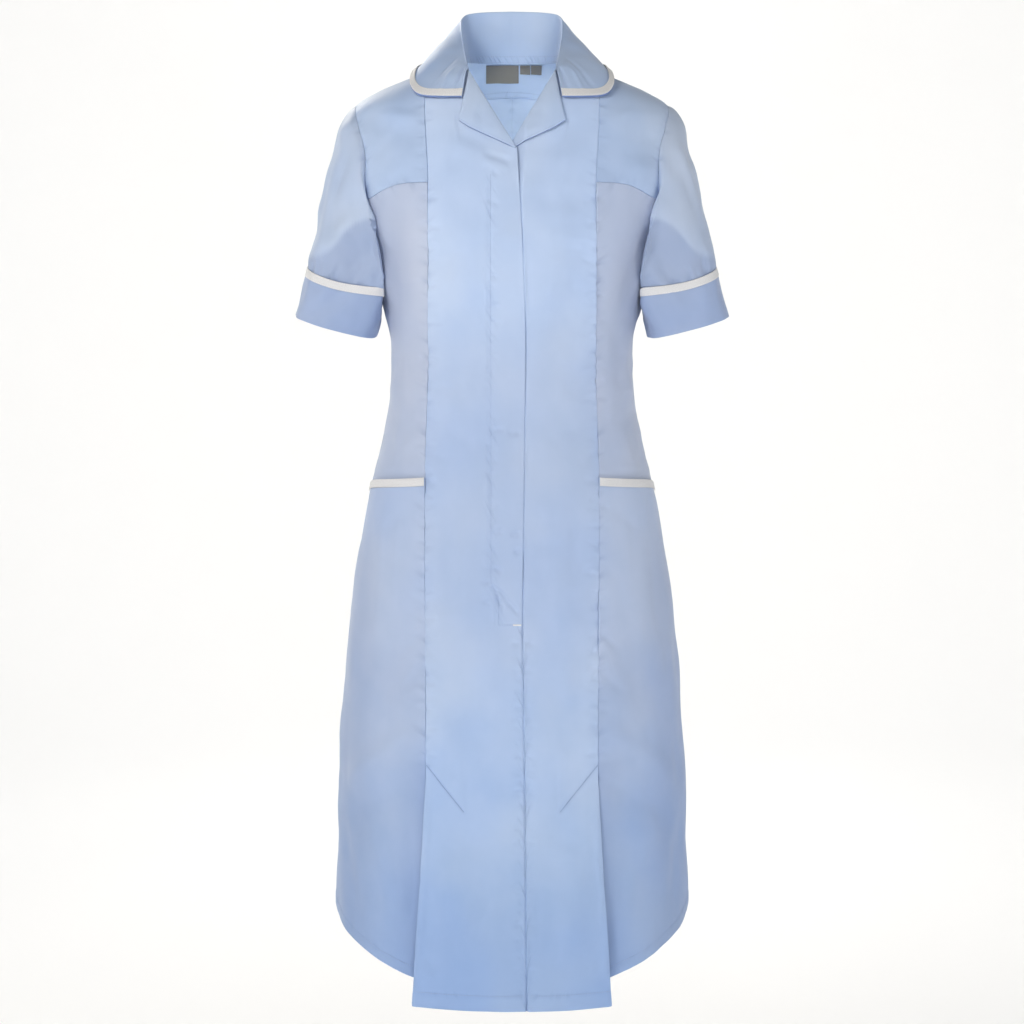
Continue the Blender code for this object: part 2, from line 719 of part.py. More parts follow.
def cuff_at(rows, angle):
    """Points of the cuff: fraction from its hem up to its seam."""
    ring = hem_ring(angle) + sleeve_axis() * (rows * cuff_tall(angle))[..., None]
    return pushed_clear(ring + fuller(FULLNESS[-1][1] * rows, 1.0, angle), SLEEVE_CLEAR)


def sleeve_at(rows, angle):
    """Points of the sleeve: fraction from the armhole seam down to the cuff seam.

    Each line down the sleeve is a cubic that leaves the armhole turned out of the
    body's face, by 13 degrees at the shoulder and 168 degrees under the arm, and
    ends along the sleeve's own axis.
    """
    start = armhole_at(angle)
    out = outward(start)
    step = 1e-4
    round_way = armhole_at(angle + step) - armhole_at(angle - step)
    round_way = round_way / np.linalg.norm(round_way, axis=-1, keepdims=True)
    into = np.cross(round_way, out)
    into = into * np.sign((into * (np.array([0.17, 0, -0.132]) - start)).sum(-1, keepdims=True))
    turned = np.radians(mix(13.0, 168.0, ((1 - np.cos(angle)) / 2) ** 0.9))[..., None]
    way = np.cos(turned) * into + np.sin(turned) * out
    start = start + SEAM * 1.5 * (np.cos(turned / 2) * into + np.sin(turned / 2) * out)
    end = hem_ring(angle) + sleeve_axis() * cuff_tall(angle)[..., None]
    far = np.linalg.norm(end - start, axis=-1, keepdims=True)
    t = rows[..., None]
    points = ((1 - t) ** 3 * start + 3 * t * (1 - t) ** 2 * (start + way * far * 0.15)
              + 3 * t * t * (1 - t) * (end + sleeve_axis() * far * 0.24) + t ** 3 * end)
    points = points + fuller(curve(FULLNESS)(rows), rows, angle)
    near = ease(t[..., 0] / 0.25)
    clear = pushed_clear(points, SLEEVE_CLEAR)
    return mix(points, clear, near[..., None])


SLEEVE_COLUMNS = 22


def ring_piece(shape, rows, lift=0.0, thickness=CLOTH, finish="blue_cloth"):
    """A maker of ring-shaped pieces from a surface, with the directions out of it."""
    angle = np.linspace(0, 2 * math.pi, SLEEVE_COLUMNS + 1)[None, :-1] + np.zeros_like(rows)
    rows = rows + np.zeros_like(angle)
    face = shape(rows, angle)
    out = grid_normals(shape, rows, angle)
    middle = face.mean(axis=(0, 1))
    if ((face - middle) * out).sum() < 0:
        out = -out

    def make(side, name):
        cloth(name, to_side(face + out * lift, side), to_side(out, side), thickness, finish, ring=True)

    return make


def arms():
    """Sleeves, cuffs and the tape over the seam between them."""
    tape_start = 1 - TAPE_WIDTH / CUFF_OUTER
    sleeve = ring_piece(sleeve_at, np.append(np.linspace(0, 1, 9) ** 1.15, 1.0)[:-1, None])
    tape_end = 0.985
    cuff = ring_piece(cuff_at, np.array([0.0, 0.4, tape_start, tape_end, 1.0])[:, None])
    tape = ring_piece(cuff_at, np.array([tape_start, tape_end])[:, None], REST + TAPE, TAPE, "white_tape")
    for side, word in ((-1, "right"), (1, "left")):
        sleeve(side, "sleeve_" + word)
        cuff(side, "cuff_" + word)
        tape(side, "cuff_tape_" + word)


# Collar


def neck_seam(share):
    """The neck's edge from the gorge (0) round to the centre back (1)."""
    side_part = 0.42
    low = NECK_SIDE[0][0]
    turn = np.where(share < side_part, mix(low, 90.0, share / side_part),
                    mix(90.0, 180.0, (share - side_part) / (1 - side_part)))
    height = np.where(share < side_part, neck_side(turn), NECK_HEIGHT)
    return round_at(np.radians(turn), height)


def collar_at(rows, share):
    """The collar's upper face: up the stand, over the fold and down the leaf.

    rows runs 0 to 1 from the neck seam to the leaf's edge; share runs -1 to 1 from the
    right end round the back to the left end.
    """
    way = 1 - np.abs(share)
    base = neck_seam(way) + np.array([0, 0, 0.0009])
    roll = join(*[curve(ROLL, c)(way) for c in (1, 2, 3)])
    edge = join(*[curve(LEAF_EDGE, c)(way) for c in (1, 2, 3)])
    edge = pushed_clear(edge, CLOTH + REST + 0.0012)
    flat = edge - roll
    flat = flat * np.array([1, 1, 0])
    flat = flat / np.linalg.norm(flat, axis=-1, keepdims=True)
    stand_part, fold_part = 0.25, 0.45
    stand = mix(base, roll, np.clip(rows / stand_part, 0, 1)[..., None])
    bend = (math.pi * np.clip((rows - stand_part) / (fold_part - stand_part), 0, 1))[..., None]
    centre = roll + flat * FOLD_RADIUS
    fold = centre - flat * FOLD_RADIUS * np.cos(bend) + np.array([0, 0, 1]) * FOLD_RADIUS * np.sin(bend)
    fall = np.clip((rows - fold_part) / (1 - fold_part), 0, 1)[..., None]
    top = centre + flat * FOLD_RADIUS
    leaf = mix(top, edge, fall) + np.array([0, 0, 0.004]) * np.sin(math.pi * fall)
    resting = pushed_clear(leaf, CLOTH + REST + 0.0008)
    leaf = mix(leaf, resting, ease(fall / 0.25))
    lower = np.where((rows < stand_part)[..., None], stand, fold)
    points = np.where((rows < fold_part)[..., None], lower, leaf)
    return points * join(np.sign(share), 1.0, 1.0)


def collar_pieces():
    columns = np.linspace(-1, 1, 35)[None, :]
    columns = np.where(columns == 0, 1e-9, columns)
    rows = np.array([0, 0.12, 0.25, 0.30, 0.35, 0.40, 0.45, 0.55, 0.66, 0.77, 0.89, 1.0])[:, None]
    rows, columns = rows + np.zeros_like(columns), columns + np.zeros_like(rows)
    face = collar_at(rows, columns)
    along = np.gradient(face, axis=1)
    down = np.gradient(face, axis=0)
    out = np.cross(down, along)
    out = out / np.linalg.norm(out, axis=-1, keepdims=True)
    if out[0, 17, 1] > 0:
        out = -out
    cloth("collar", face, out)
    rim = face[-2:] + out[-2:] * (REST + TAPE)
    cloth("collar_tape", rim, out[-2:], TAPE, "white_tape")


def start_again():
    """Removes what the scene holds and makes the collection and the finishes."""
    for old in list(bpy.data.objects):
        bpy.data.objects.remove(old, do_unlink=True)
    dress = bpy.data.collections.new("nurse_dress")
    bpy.context.scene.collection.children.link(dress)
    for name, (colour, roughness) in FINISHES.items():
        material = bpy.data.materials.new(name)
        material.use_nodes = True
        shader = material.node_tree.nodes["Principled BSDF"]
        shader.inputs["Base Color"].default_value = colour
        shader.inputs["Roughness"].default_value = roughness
        shader.inputs["Metallic"].default_value = 0.0
        material.diffuse_color = colour


def main():
    start_again()
    for side, word in ((-1, "right"), (1, "left")):
        front(side, "front_" + word)
        yoke_front(side, "yoke_front_" + word)
        side_front(side, "side_front_" + word)
        skirt_side(side, "skirt_side_" + word)
        pocket_tape(side, "pocket_tape_" + word)
        pleat(side, "pleat_" + word)
        lapel(side, "lapel_" + word)
        back(side, "back_" + word)
    back_yoke("back_yoke")
    arms()
    collar_pieces()
    for name, left, right, bottom in LABELS:
        label(name, left, right, bottom)


main()
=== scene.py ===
"""The looks of a nurse's uniform dress, held in the shape it has when it is worn.

Metres, +Z up. The front faces -Y and the wearer's right is at -X. The origin is the
centre of the neck at the height where the shoulder seams meet the collar.

Each panel is a grid of points on the body's surface, by rows down and columns across.
Its creases move the grid along the body's own normals, its sewn edges roll under, and
it becomes a thin closed wall of cloth whose own coordinates carry the weave.
"""

import math

import bpy
import numpy as np
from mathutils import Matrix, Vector


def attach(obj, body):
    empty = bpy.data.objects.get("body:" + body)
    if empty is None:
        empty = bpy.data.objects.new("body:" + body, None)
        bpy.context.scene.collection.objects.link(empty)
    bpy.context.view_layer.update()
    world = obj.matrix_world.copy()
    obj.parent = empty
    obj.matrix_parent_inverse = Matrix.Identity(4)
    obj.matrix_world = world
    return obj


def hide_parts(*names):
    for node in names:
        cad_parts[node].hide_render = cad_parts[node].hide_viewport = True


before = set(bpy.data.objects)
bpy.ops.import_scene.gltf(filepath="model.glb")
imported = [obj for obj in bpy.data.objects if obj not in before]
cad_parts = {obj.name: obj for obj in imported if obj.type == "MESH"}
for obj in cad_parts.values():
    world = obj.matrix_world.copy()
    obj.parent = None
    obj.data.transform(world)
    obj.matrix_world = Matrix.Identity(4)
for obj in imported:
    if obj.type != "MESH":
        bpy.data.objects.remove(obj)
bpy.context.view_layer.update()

CLOTH = 0.0009  # thickness of one panel
TAPE = 0.0007
WALL = 0.0012  # thickness of the solids' walls, which the layers keep clear by
REST = 0.0004
SEAM_ROLL = 0.0008  # radius of the edge that a seam turns under
ARM_ROLL = 0.0004  # and at the armhole
FOLD_ROLL = 0.0007  # radius of a pressed fold
SEAM_SHUT = 0.00003  # half the gap left between two sewn edges
STEP = 0.0024  # usual size of a grid square
RIM = (0.0, 0.00025, 0.0006, 0.0011, 0.0020)  # the grid's first squares beside an edge
TAPE_WIDTH = 0.0092

FRONT_POWER = 2.3  # squareness of the sections, 2 is an ellipse
BACK_POWER = 2.25

# The body's level sections
# height, half width, depth forward, depth back
BODY = (
    (0.0600, 0.0040, 0.020, 0.030),
    (0.0120, 0.0300, 0.048, 0.064),
    (0.0050, 0.0486, 0.056, 0.073),
    (-0.0040, 0.0800, 0.064, 0.080),
    (-0.0110, 0.1040, 0.070, 0.085),
    (-0.0185, 0.1240, 0.076, 0.090),
    (-0.0265, 0.1430, 0.081, 0.095),
    (-0.0417, 0.1684, 0.089, 0.101),
    (-0.0550, 0.1780, 0.095, 0.105),
    (-0.0750, 0.1850, 0.103, 0.110),
    (-0.1100, 0.1870, 0.117, 0.115),
    (-0.1400, 0.1830, 0.127, 0.118),
    (-0.1800, 0.1710, 0.136, 0.117),
    (-0.2220, 0.1520, 0.137, 0.112),
    (-0.2600, 0.1425, 0.127, 0.103),
    (-0.2980, 0.1342, 0.114, 0.094),
    (-0.3300, 0.1334, 0.106, 0.090),
    (-0.3600, 0.1356, 0.106, 0.092),
    (-0.4100, 0.1447, 0.115, 0.102),
    (-0.4600, 0.1573, 0.125, 0.114),
    (-0.5130, 0.1676, 0.132, 0.122),
    (-0.5600, 0.1757, 0.137, 0.126),
    (-0.6160, 0.1835, 0.142, 0.130),
    (-0.7000, 0.1910, 0.148, 0.135),
    (-0.8000, 0.1960, 0.156, 0.141),
    (-0.9000, 0.2007, 0.164, 0.148),
    (-1.0200, 0.2060, 0.172, 0.155),
)

# Where each seam or edge lies, as height and distance from the middle
PRINCESS = (
    (0.000, 0.0926),
    (-0.041, 0.0924),
    (-0.122, 0.0886),
    (-0.192, 0.0887),
    (-0.322, 0.0908),
    (-0.439, 0.0941),
    (-0.746, 0.0935),
    (-1.020, 0.0935),
)
FLY_EDGE = (
    (-0.087, 0.0055),
    (-0.160, 0.0098),
    (-0.298, 0.0143),
    (-0.436, 0.0128),
    (-0.590, 0.0112),
    (-0.780, 0.0135),
    (-1.020, 0.0155),
)
# How far round the body, in degrees from the centre front, and the hem's height there
SIDE_HEM = (
    (33.0, -0.9912),
    (48.7, -0.9736),
    (62.4, -0.9582),
    (77.6, -0.9450),
    (90.0, -0.9400),
    (110.0, -0.9500),
    (140.0, -0.9800),
    (180.0, -0.9960),
)
# The yoke seam of the front: fraction of the way to the armhole, and height
YOKE_SEAM = (
    (0.00, -0.1216),
    (0.25, -0.1222),
    (0.48, -0.1247),
    (0.70, -0.1313),
    (0.90, -0.1393),
    (1.00, -0.1427),
)
# The pocket mouth: fraction of the way to the side seam, and height
POCKET_MOUTH = ((0.0, -0.4368), (0.35, -0.4425), (0.75, -0.4505), (1.0, -0.4590))

# The neck's side, from the gorge to the shoulder seam: degrees round, and height
NECK_SIDE = ((36.6, -0.0073), (45.0, -0.0010), (57.0, 0.0034), (72.0, 0.0047), (90.0, 0.0050))

NECK_HALF = 0.0486
NECK_HEIGHT = 0.0050
GORGE = (0.0452, -0.0073)  # where the collar meets the lapel: across, height
BREAK = (0.0055, -0.0870)  # where the lapel starts to turn back
LAPEL_TIP = (0.0555, -0.0590)
LAPEL_ELBOW = (0.0446, -0.0660)  # a point on the lapel's lower edge
FRONT_HEM = -1.0142
FRONT_HEM_RISE = 0.0034  # from the middle of the front hem to its corners
PLEAT_TOP = -0.7460
PLEAT_EDGE = 0.1080  # the centre front's free edge at the hem, from the middle
PLEAT_FOLD = 0.0520  # the pleat's inner fold, from the middle
PLEAT_SLANT = 0.0925  # from the middle to where the slanting line of stitches starts
PLEAT_FOLD_TOP = -0.7946
FLY_END = -0.5906
FLAP = 0.025  # how far the left front reaches under the fly
FLAP_BELOW = 0.008  # and under the seam below it
POCKET_DEPTH = 0.150
POCKET_LEAD = 0.014  # the side front starts to dip this far above the mouth
PLEAT_START = 0.022  # the side piece is fully tucked this far below the pleat's top
BACK_YOKE_MIDDLE = -0.0336
BACK_YOKE_ARMHOLE = -0.0780

SHOULDER = -0.0417  # height of the armhole's top
UNDERARM = -0.2220
ARMHOLE_FRONT = 0.0755  # how far the armhole reaches forward and back
ARMHOLE_BACK = 0.0700

# The sleeve's hem, a ring tilted down towards the body
HEM_OUTER = (0.2370, -0.2690)
HEM_INNER = (0.1500, -0.2932)
HEM_FORWARD = -0.012  # the ring's middle
HEM_HALF_DEPTH = 0.058
HEM_POWER = 3.0
CUFF_OUTER = 0.0555  # how tall the cuff is there
CUFF_INNER = 0.0610
CUFF_SAG = 0.0060  # how much less it is in front and behind
# The sleeve's front inner part reaches over the body's side: fraction down the sleeve, share
FULLNESS = ((0.00, 0.00), (0.10, 0.28), (0.22, 0.85), (0.40, 1.10), (0.75, 0.87), (1.00, 0.55))
FULL_REACH = 0.0225
SLEEVE_CLEAR = 0.0035

# The collar leaf's edge from the front end over the shoulder to the back
# fraction of the way, across, forward, height
LEAF_EDGE = (
    (0.00, 0.0522, -0.0830, -0.0358),
    (0.10, 0.0700, -0.0800, -0.0362),
    (0.20, 0.0860, -0.0760, -0.0360),
    (0.26, 0.0965, -0.0720, -0.0345),
    (0.32, 0.1035, -0.0660, -0.0300),
    (0.38, 0.1070, -0.0540, -0.0235),
    (0.47, 0.1050, -0.0200, -0.0140),
    (0.58, 0.1010, 0.0300, -0.0120),
    (0.72, 0.0840, 0.0760, -0.0130),
    (0.86, 0.0450, 0.0980, -0.0120),
    (1.00, 0.0000, 0.1040, -0.0110),
)
# The fold along the top of the collar
# fraction of the way, across, forward, height
ROLL = (
    (0.00, 0.0462, -0.0600, -0.0035),
    (0.15, 0.0485, -0.0430, 0.0060),
    (0.30, 0.0510, -0.0180, 0.0180),
    (0.45, 0.0535, 0.0100, 0.0320),
    (0.60, 0.0545, 0.0420, 0.0480),
    (0.72, 0.0490, 0.0640, 0.0560),
    (0.86, 0.0270, 0.0740, 0.0592),
    (1.00, 0.0000, 0.0765, 0.0600),
)
FOLD_RADIUS = 0.0011

# Across from and to, and the bottom, of the three labels
LABELS = (
    ("label_main", -0.0297, 0.0078, -0.0160),
    ("label_size", 0.0089, 0.0211, -0.0060),
    ("label_fit", 0.0214, 0.0340, -0.0060),
)

# Stitching
FLY_STITCH = 0.0225  # the fly's stitch line, from the middle
FLY_STITCH_TOP = -0.1141
FLY_STITCH_TURN = (-0.5424, -0.5638)  # where it starts and ends its slant
FLY_BOX = 0.0144  # the line below the slant, from the middle
HEM_DEPTH = 0.0175
SIDE_HEM_DEPTH = 0.0120
STITCH = (0.0021, 0.0027, 0.00019)  # a stitch's length, the pitch, and the thread's radius

# Camera and studio
CAMERA_PLACE = (0.0, -2.55, -0.05)
CAMERA_DOWN = 9.832  # degrees
LENS = 81.0
FLOOR = -2.00
SKY = (0.84, 0.92, 1.00)
SKY_STRENGTH = 0.16
WARM = (1.00, 0.94, 0.84)
PLAIN = (1.00, 0.98, 0.95)
COOL = (0.50, 0.70, 1.00)
# name, place, what it faces, size, power, colour
LAMPS = (
    ("key", (-1.00, -1.80, 0.85), (0.0, 0.0, -0.20), 0.6, 22.5, WARM),
    ("front", (0.30, -2.20, 0.30), (0.0, 0.0, -0.40), 1.0, 5.0, PLAIN),
    ("low", (0.0, -1.80, -1.50), (0.0, 0.0, -0.90), 1.0, 2.5, COOL),
    ("side_right", (-1.80, -0.30, 0.30), (0.0, 0.0, -0.30), 0.8, 2.5, WARM),
    ("side_left", (1.80, -0.30, 0.30), (0.0, 0.0, -0.30), 0.8, 5.5, WARM),
    ("back", (-1.00, 1.80, 0.85), (0.0, 0.0, -0.20), 0.6, 22.0, WARM),
    ("low_back", (0.0, 1.80, -1.50), (0.0, 0.0, -0.90), 1.0, 2.5, COOL),
    ("inside", (0.0, -0.045, -0.150), (0.0, 0.10, -0.055), 0.08, 0.21, (1.00, 1.00, 0.84)),
    ("floor_far", (0.0, 2.80, 1.80), (0.0, 6.50, -1.2), 2.0, 148.0, PLAIN),
    ("floor_near", (0.0, -2.80, 1.80), (0.0, -6.50, -1.2), 2.0, 148.0, PLAIN),
    ("floor_right", (-2.80, 0.0, 1.80), (-6.50, 0.0, -1.2), 2.0, 148.0, PLAIN),
    ("floor_left", (2.80, 0.0, 1.80), (6.50, 0.0, -1.2), 2.0, 148.0, PLAIN),
)


def curve(rows, column=1):
    """A smooth function through a table's rows that never overshoots them.

    Cubic pieces, with the harmonic mean of the neighbouring slopes at each row.
    """
    table = np.array(sorted(rows))
    place, value = table[:, 0], table[:, column]
    step = np.diff(place)
    rise = np.diff(value) / step
    slope = np.zeros(len(place))
    slope[0], slope[-1] = rise[0], rise[-1]
    same_way = rise[:-1] * rise[1:] > 0
    mean = 2 * rise[:-1] * rise[1:] / np.where(same_way, rise[:-1] + rise[1:], 1)
    slope[1:-1] = np.where(same_way, mean, 0)

    def at(where):
        where = np.clip(where, place[0], place[-1])
        i = np.clip(np.searchsorted(place, where) - 1, 0, len(step) - 1)
        t = (where - place[i]) / step[i]
        start = (1 + 2 * t) * (1 - t) ** 2 * value[i] + t * (1 - t) ** 2 * step[i] * slope[i]
        end = t * t * (3 - 2 * t) * value[i + 1] + t * t * (t - 1) * step[i] * slope[i + 1]
        return start + end

    return at


half_width = curve(BODY, 1)
depth_forward = curve(BODY, 2)
depth_back = curve(BODY, 3)
princess = curve(PRINCESS)
fly_edge = curve(FLY_EDGE)
side_hem = curve(SIDE_HEM)
neck_side = curve(NECK_SIDE)
yoke_seam = curve(YOKE_SEAM)
pocket_mouth = curve(POCKET_MOUTH)


def ease(t):
    """A smooth step from 0 to 1."""
    t = np.clip(t, 0, 1)
    return t * t * (3 - 2 * t)


def mix(a, b, t):
    return a + (b - a) * t


def join(*parts):
    """Numbers for x, y and z as points."""
    return np.stack(np.broadcast_arrays(*parts), axis=-1)


def to_side(points, side):
    """Points of the positive side, for the wearer's left (+1) or right (-1)."""
    return points * np.array([side, 1, 1])


# The body's surface


def section_radius(points):
    """1 on the body's outer face, less inside it and more outside."""
    x, y, z = np.moveaxis(points, -1, 0)
    power = np.where(y < 0, FRONT_POWER, BACK_POWER)
    depth = np.where(y < 0, depth_forward(z), depth_back(z))
    return (np.abs(x / half_width(z)) ** power + np.abs(y / depth) ** power) ** (1 / power)


def clearance(points):
    """How far points are outside the body's face, and which way is out."""
    step = 1e-5
    slope = join(*[(section_radius(points + d) - section_radius(points - d)) / (2 * step)
                   for d in np.eye(3) * step])
    steep = np.linalg.norm(slope, axis=-1, keepdims=True)
    return (section_radius(points) - 1) / steep[..., 0], slope / steep


def outward(points):
    return clearance(points)[1]


def pushed_clear(points, gap, softness=0.0015):
    """Points moved out of the body until they are a gap away from its face."""
    for _ in range(4):
        distance, out = clearance(points)
        push = softness * np.logaddexp(0, (gap - distance) / softness)
        points = points + out * (push * 0.7)[..., None]
    return points


def front_at(across, height):
    """Points on the front, by their distance from the middle and their height."""
    inside = 1 - (np.abs(across) / half_width(height)) ** FRONT_POWER
    inside = np.where(inside < 3e-4, 0, inside)
    return join(across, -depth_forward(height) * inside ** (1 / FRONT_POWER), height)


def round_at(turn, height):
    """Points on the body, by the angle round from the centre front and their height."""
    s, c = np.sin(turn), np.cos(turn)
    power = np.where(c > 0, FRONT_POWER, BACK_POWER)
    depth = np.where(c > 0, depth_forward(height), depth_back(height))
    radius = (np.abs(s / half_width(height)) ** power + np.abs(c / depth) ** power) ** (-1 / power)
    return join(radius * s, -radius * c, height)


def turn_of(points):
    return np.arctan2(points[..., 0], -points[..., 1])


def shoulder_height(across):
    """Height of the shoulder seam at a distance from the middle."""
    heights = np.linspace(SHOULDER, NECK_HEIGHT, 400)
    return np.interp(across, half_width(heights)[::-1], heights[::-1])


def armhole_at(angle):
    """Points round the armhole: 0 at the shoulder, 90 degrees forward, 180 underneath."""
    middle = (SHOULDER + UNDERARM) / 2
    height = middle + (SHOULDER - middle) * np.cos(angle)
    reach = np.where(np.sin(angle) > 0, ARMHOLE_FRONT, ARMHOLE_BACK)
    forward = -reach * np.sin(angle)
    power = np.where(forward < 0, FRONT_POWER, BACK_POWER)
    depth = np.where(forward < 0, depth_forward(height), depth_back(height))
    across = half_width(height) * (1 - np.abs(forward / depth) ** power) ** (1 / power)
    return join(across, forward, height)


def armhole_angle(height, front=True):
    """The angle round the armhole at a height, on its front or its back."""
    middle = (SHOULDER + UNDERARM) / 2
    angle = np.arccos(np.clip((height - middle) / (SHOULDER - middle), -1, 1))
    return angle if front else 2 * math.pi - angle


def body_edge_turn(height, front=True):
    """How far round a front or back piece reaches: the armhole, and the side seam below it."""
    turn = turn_of(armhole_at(armhole_angle(height, front)))
    return np.where(height > UNDERARM, turn, math.pi / 2)


# Grids


def spaced(length, step=STEP, rims=(True, True)):
    """Fractions along a length: even between its ends, and close together beside a rim."""
    near = np.array(RIM) / length
    low = near[-1] if rims[0] else 0.0
    high = 1 - near[-1] if rims[1] else 1.0
    count = max(int(round((high - low) * length / step)), 2)
    parts = [near[:-1]] if rims[0] else []
    parts.append(np.linspace(low, high, count + 1))
    if rims[1]:
        parts.append(1 - near[-2::-1])
    return np.concatenate(parts)


def run(face, axis):
    """Distance over the grid from its first row (axis 0) or its first column (axis 1)."""
    step = np.linalg.norm(np.diff(face, axis=axis), axis=-1)
    start = np.zeros_like(np.take(step, [0], axis=axis))
    return np.concatenate([start, np.cumsum(step, axis=axis)], axis=axis)


def from_edge(face, edge):
    """Distance over the grid from its top, bottom, left or right edge."""
    axis = 0 if edge in ("top", "bottom") else 1
    gone = run(face, axis)
    return gone if edge in ("top", "left") else np.take(gone, [-1], axis=axis) - gone


def grid_normals(shape, rows, columns):
    """Directions out of a surface given as a function of two numbers, by small steps."""
    step = 1e-4
    down = shape(np.clip(rows + step, 0, 1), columns) - shape(np.clip(rows - step, 0, 1), columns)
    along = shape(rows, columns + step) - shape(rows, columns - step)
    out = np.cross(along, down)
    return out / np.linalg.norm(out, axis=-1, keepdims=True)


# Creases and swells


def creased(a, b, rows):
    """How far soft troughs and ridges move the cloth.

    Each row is a segment from (a0, b0) to (a1, b1) with a width and a depth. Across it
    the form is a bell, depth times exp(-(distance / width) squared), and it dies away
    over its last third at each end.
    """
    moved = np.zeros(np.broadcast(a, b).shape)
    for a0, b0, a1, b1, width, depth in rows:
        along_a, along_b = a1 - a0, b1 - b0
        length = math.hypot(along_a, along_b)
        t = ((a - a0) * along_a + (b - b0) * along_b) / length ** 2
        off = ((a - a0) * along_b - (b - b0) * along_a) / length
        lengthways = ease((t + 0.15) / 0.45) * ease((1.15 - t) / 0.45)
        moved = moved + depth * lengthways * np.exp(-(off / width) ** 2)
    return moved


def swell(a, b, size, seed):
    """A slow unevenness between -1 and 1: seven sine waves in mixed directions."""
    rng = np.random.default_rng(seed)
    total = 0.0
    for _ in range(7):
        turn, start = rng.uniform(0, 2 * math.pi, 2)
        wave = 2 * math.pi / (size * rng.uniform(0.6, 1.5))
        total = total + np.sin(wave * (a * math.cos(turn) + b * math.sin(turn)) + start)
    return total / 7 * 1.8


def pucker_rows(seed, start, end, edge_at, into, gap=(0.011, 0.028), reach=(0.008, 0.018),
                depth=(0.0006, 0.0013), lean=0.5):
    """Short troughs that run off a seam, uneven in spacing, length and depth.

    start and end are the seam's range of b. edge_at gives its a, and into is the way
    into the piece, +1 or -1. The pieces on both sides of a seam share its seed, so
    their troughs meet there.
    """
    rng = np.random.default_rng(seed)
    rows = []
    place = min(start, end) + rng.uniform(*gap) / 2
    while place < max(start, end):
        far = rng.uniform(*reach)
        drop = far * rng.uniform(-lean, lean)
        a = float(edge_at(place))
        rows.append((a - into * far * 0.4, place - drop * 0.4, a + into * far, place + drop,
                     rng.uniform(0.0026, 0.0042), -rng.uniform(*depth)))
        place += rng.uniform(*gap)
    return rows


def rumple(a, b, seed, coarse=0.075, fine=0.028):
    """The cloth's own unevenness: slow swells with smaller ones on them, in metres."""
    return 0.0015 * swell(a, b, coarse, seed) + 0.00040 * swell(a, b, fine, seed + 1)


# Walls of cloth


def rolled(face, out, edges, radius=SEAM_ROLL):
    """The face with its named edges turned under, as a quarter of a round.

    At a distance d from the edge, under the radius r, the drop is
    r - sqrt(r squared - (r - d) squared).
    """
    drop = 0.0
    for edge in edges:
        short = np.clip(radius - from_edge(face, edge), 0, radius)
        drop = np.maximum(drop, radius - np.sqrt(radius ** 2 - short ** 2))
    return face - out * np.broadcast_to(drop, face.shape[:2])[..., None]


def drawn_in(face, ring):
    """The face with its edges pulled in, so that two sewn edges don't share a place."""
    face = face.copy()

    def pull(edge, beside):
        way = beside - edge
        return edge + way / np.linalg.norm(way, axis=-1, keepdims=True) * SEAM_SHUT

    face[0], face[-1] = pull(face[0], face[1]), pull(face[-1], face[-2])
    if not ring:
        face[:, 0], face[:, -1] = pull(face[:, 0], face[:, 1]), pull(face[:, -1], face[:, -2])
    return face


def near_seams(face, edges, reach=0.0075):
    """1 at a sewn edge and less away from it, over the grid."""
    near = np.zeros(face.shape[:2])
    for edge in edges:
        near = np.maximum(near, np.exp(-(from_edge(face, edge) / reach) ** 1.5))
    return near


def wall(name, face, out, material, thickness=CLOTH, ring=False, marks=None):
    """A closed wall of cloth with its own coordinates in metres along the grid.

    Its back is the face moved in by the thickness, and a strip closes each edge. The
    marks are three numbers for each point: how much it puckers along upright seams,
    along level seams, and how much painted shade darkens it.
    """
    face = drawn_in(face, ring)
    marks = np.zeros(face.shape) if marks is None else marks
    if ring:
        face, out, marks = (np.concatenate([a, a[:, :1]], axis=1) for a in (face, out, marks))
    rows, columns = face.shape[:2]
    count = rows * columns
    points = np.concatenate([face.reshape(-1, 3), (face - out * thickness).reshape(-1, 3)])
    flat = np.stack([run(face, 1), run(face, 0)], axis=-1).reshape(-1, 2)
    flat = np.concatenate([flat, flat])
    index = np.arange(count).reshape(rows, columns)
    quads = np.stack([index[:-1, :-1], index[1:, :-1], index[1:, 1:], index[:-1, 1:]], axis=-1).reshape(-1, 4)
    if ring:
        edges = [index[0], index[-1][::-1]]
    else:
        edges = [np.concatenate([index[0], index[1:, -1], index[-1, -2::-1], index[-2::-1, 0]])]
    strips = [np.stack([e[:-1], e[1:], e[1:] + count, e[:-1] + count], axis=-1) for e in edges]
    faces = np.concatenate([quads, quads[:, ::-1] + count, *strips])
    down, along = face[1:, :-1] - face[:-1, :-1], face[:-1, 1:] - face[:-1, :-1]
    if (np.cross(down, along) * out[:-1, :-1]).sum() < 0:
        faces = faces[:, ::-1]
    mesh = bpy.data.meshes.new(name)
    mesh.from_pydata(points.tolist(), [], faces.tolist())
    layer = mesh.uv_layers.new(name="cloth")
    layer.data.foreach_set("uv", flat[faces.ravel()].ravel())
    marks = np.concatenate([marks.reshape(-1, 3)] * 2)
    # Puckers along seams and painted shade, as a colour attribute on the points
    puckers_and_painted_shade = mesh.attributes.new("puckers_and_painted_shade", "FLOAT_COLOR", "POINT")
    puckers_and_painted_shade.data.foreach_set("color", np.concatenate([marks, np.ones((len(marks), 1))], axis=1).ravel())
    mesh.materials.append(material)
    piece = bpy.data.objects.new(name, mesh)
    bpy.context.scene.collection.objects.link(piece)
    if ring:
        closed(piece)
    mesh.shade_smooth()
    mesh.set_sharp_from_angle(angle=math.radians(55))
    return piece


def closed(piece):
    """Merges the two sides of a ring's joint."""
    import bmesh
    solid = bmesh.new()
    solid.from_mesh(piece.data)
    bmesh.ops.remove_doubles(solid, verts=solid.verts, dist=1e-6)
    solid.to_mesh(piece.data)
    solid.free()


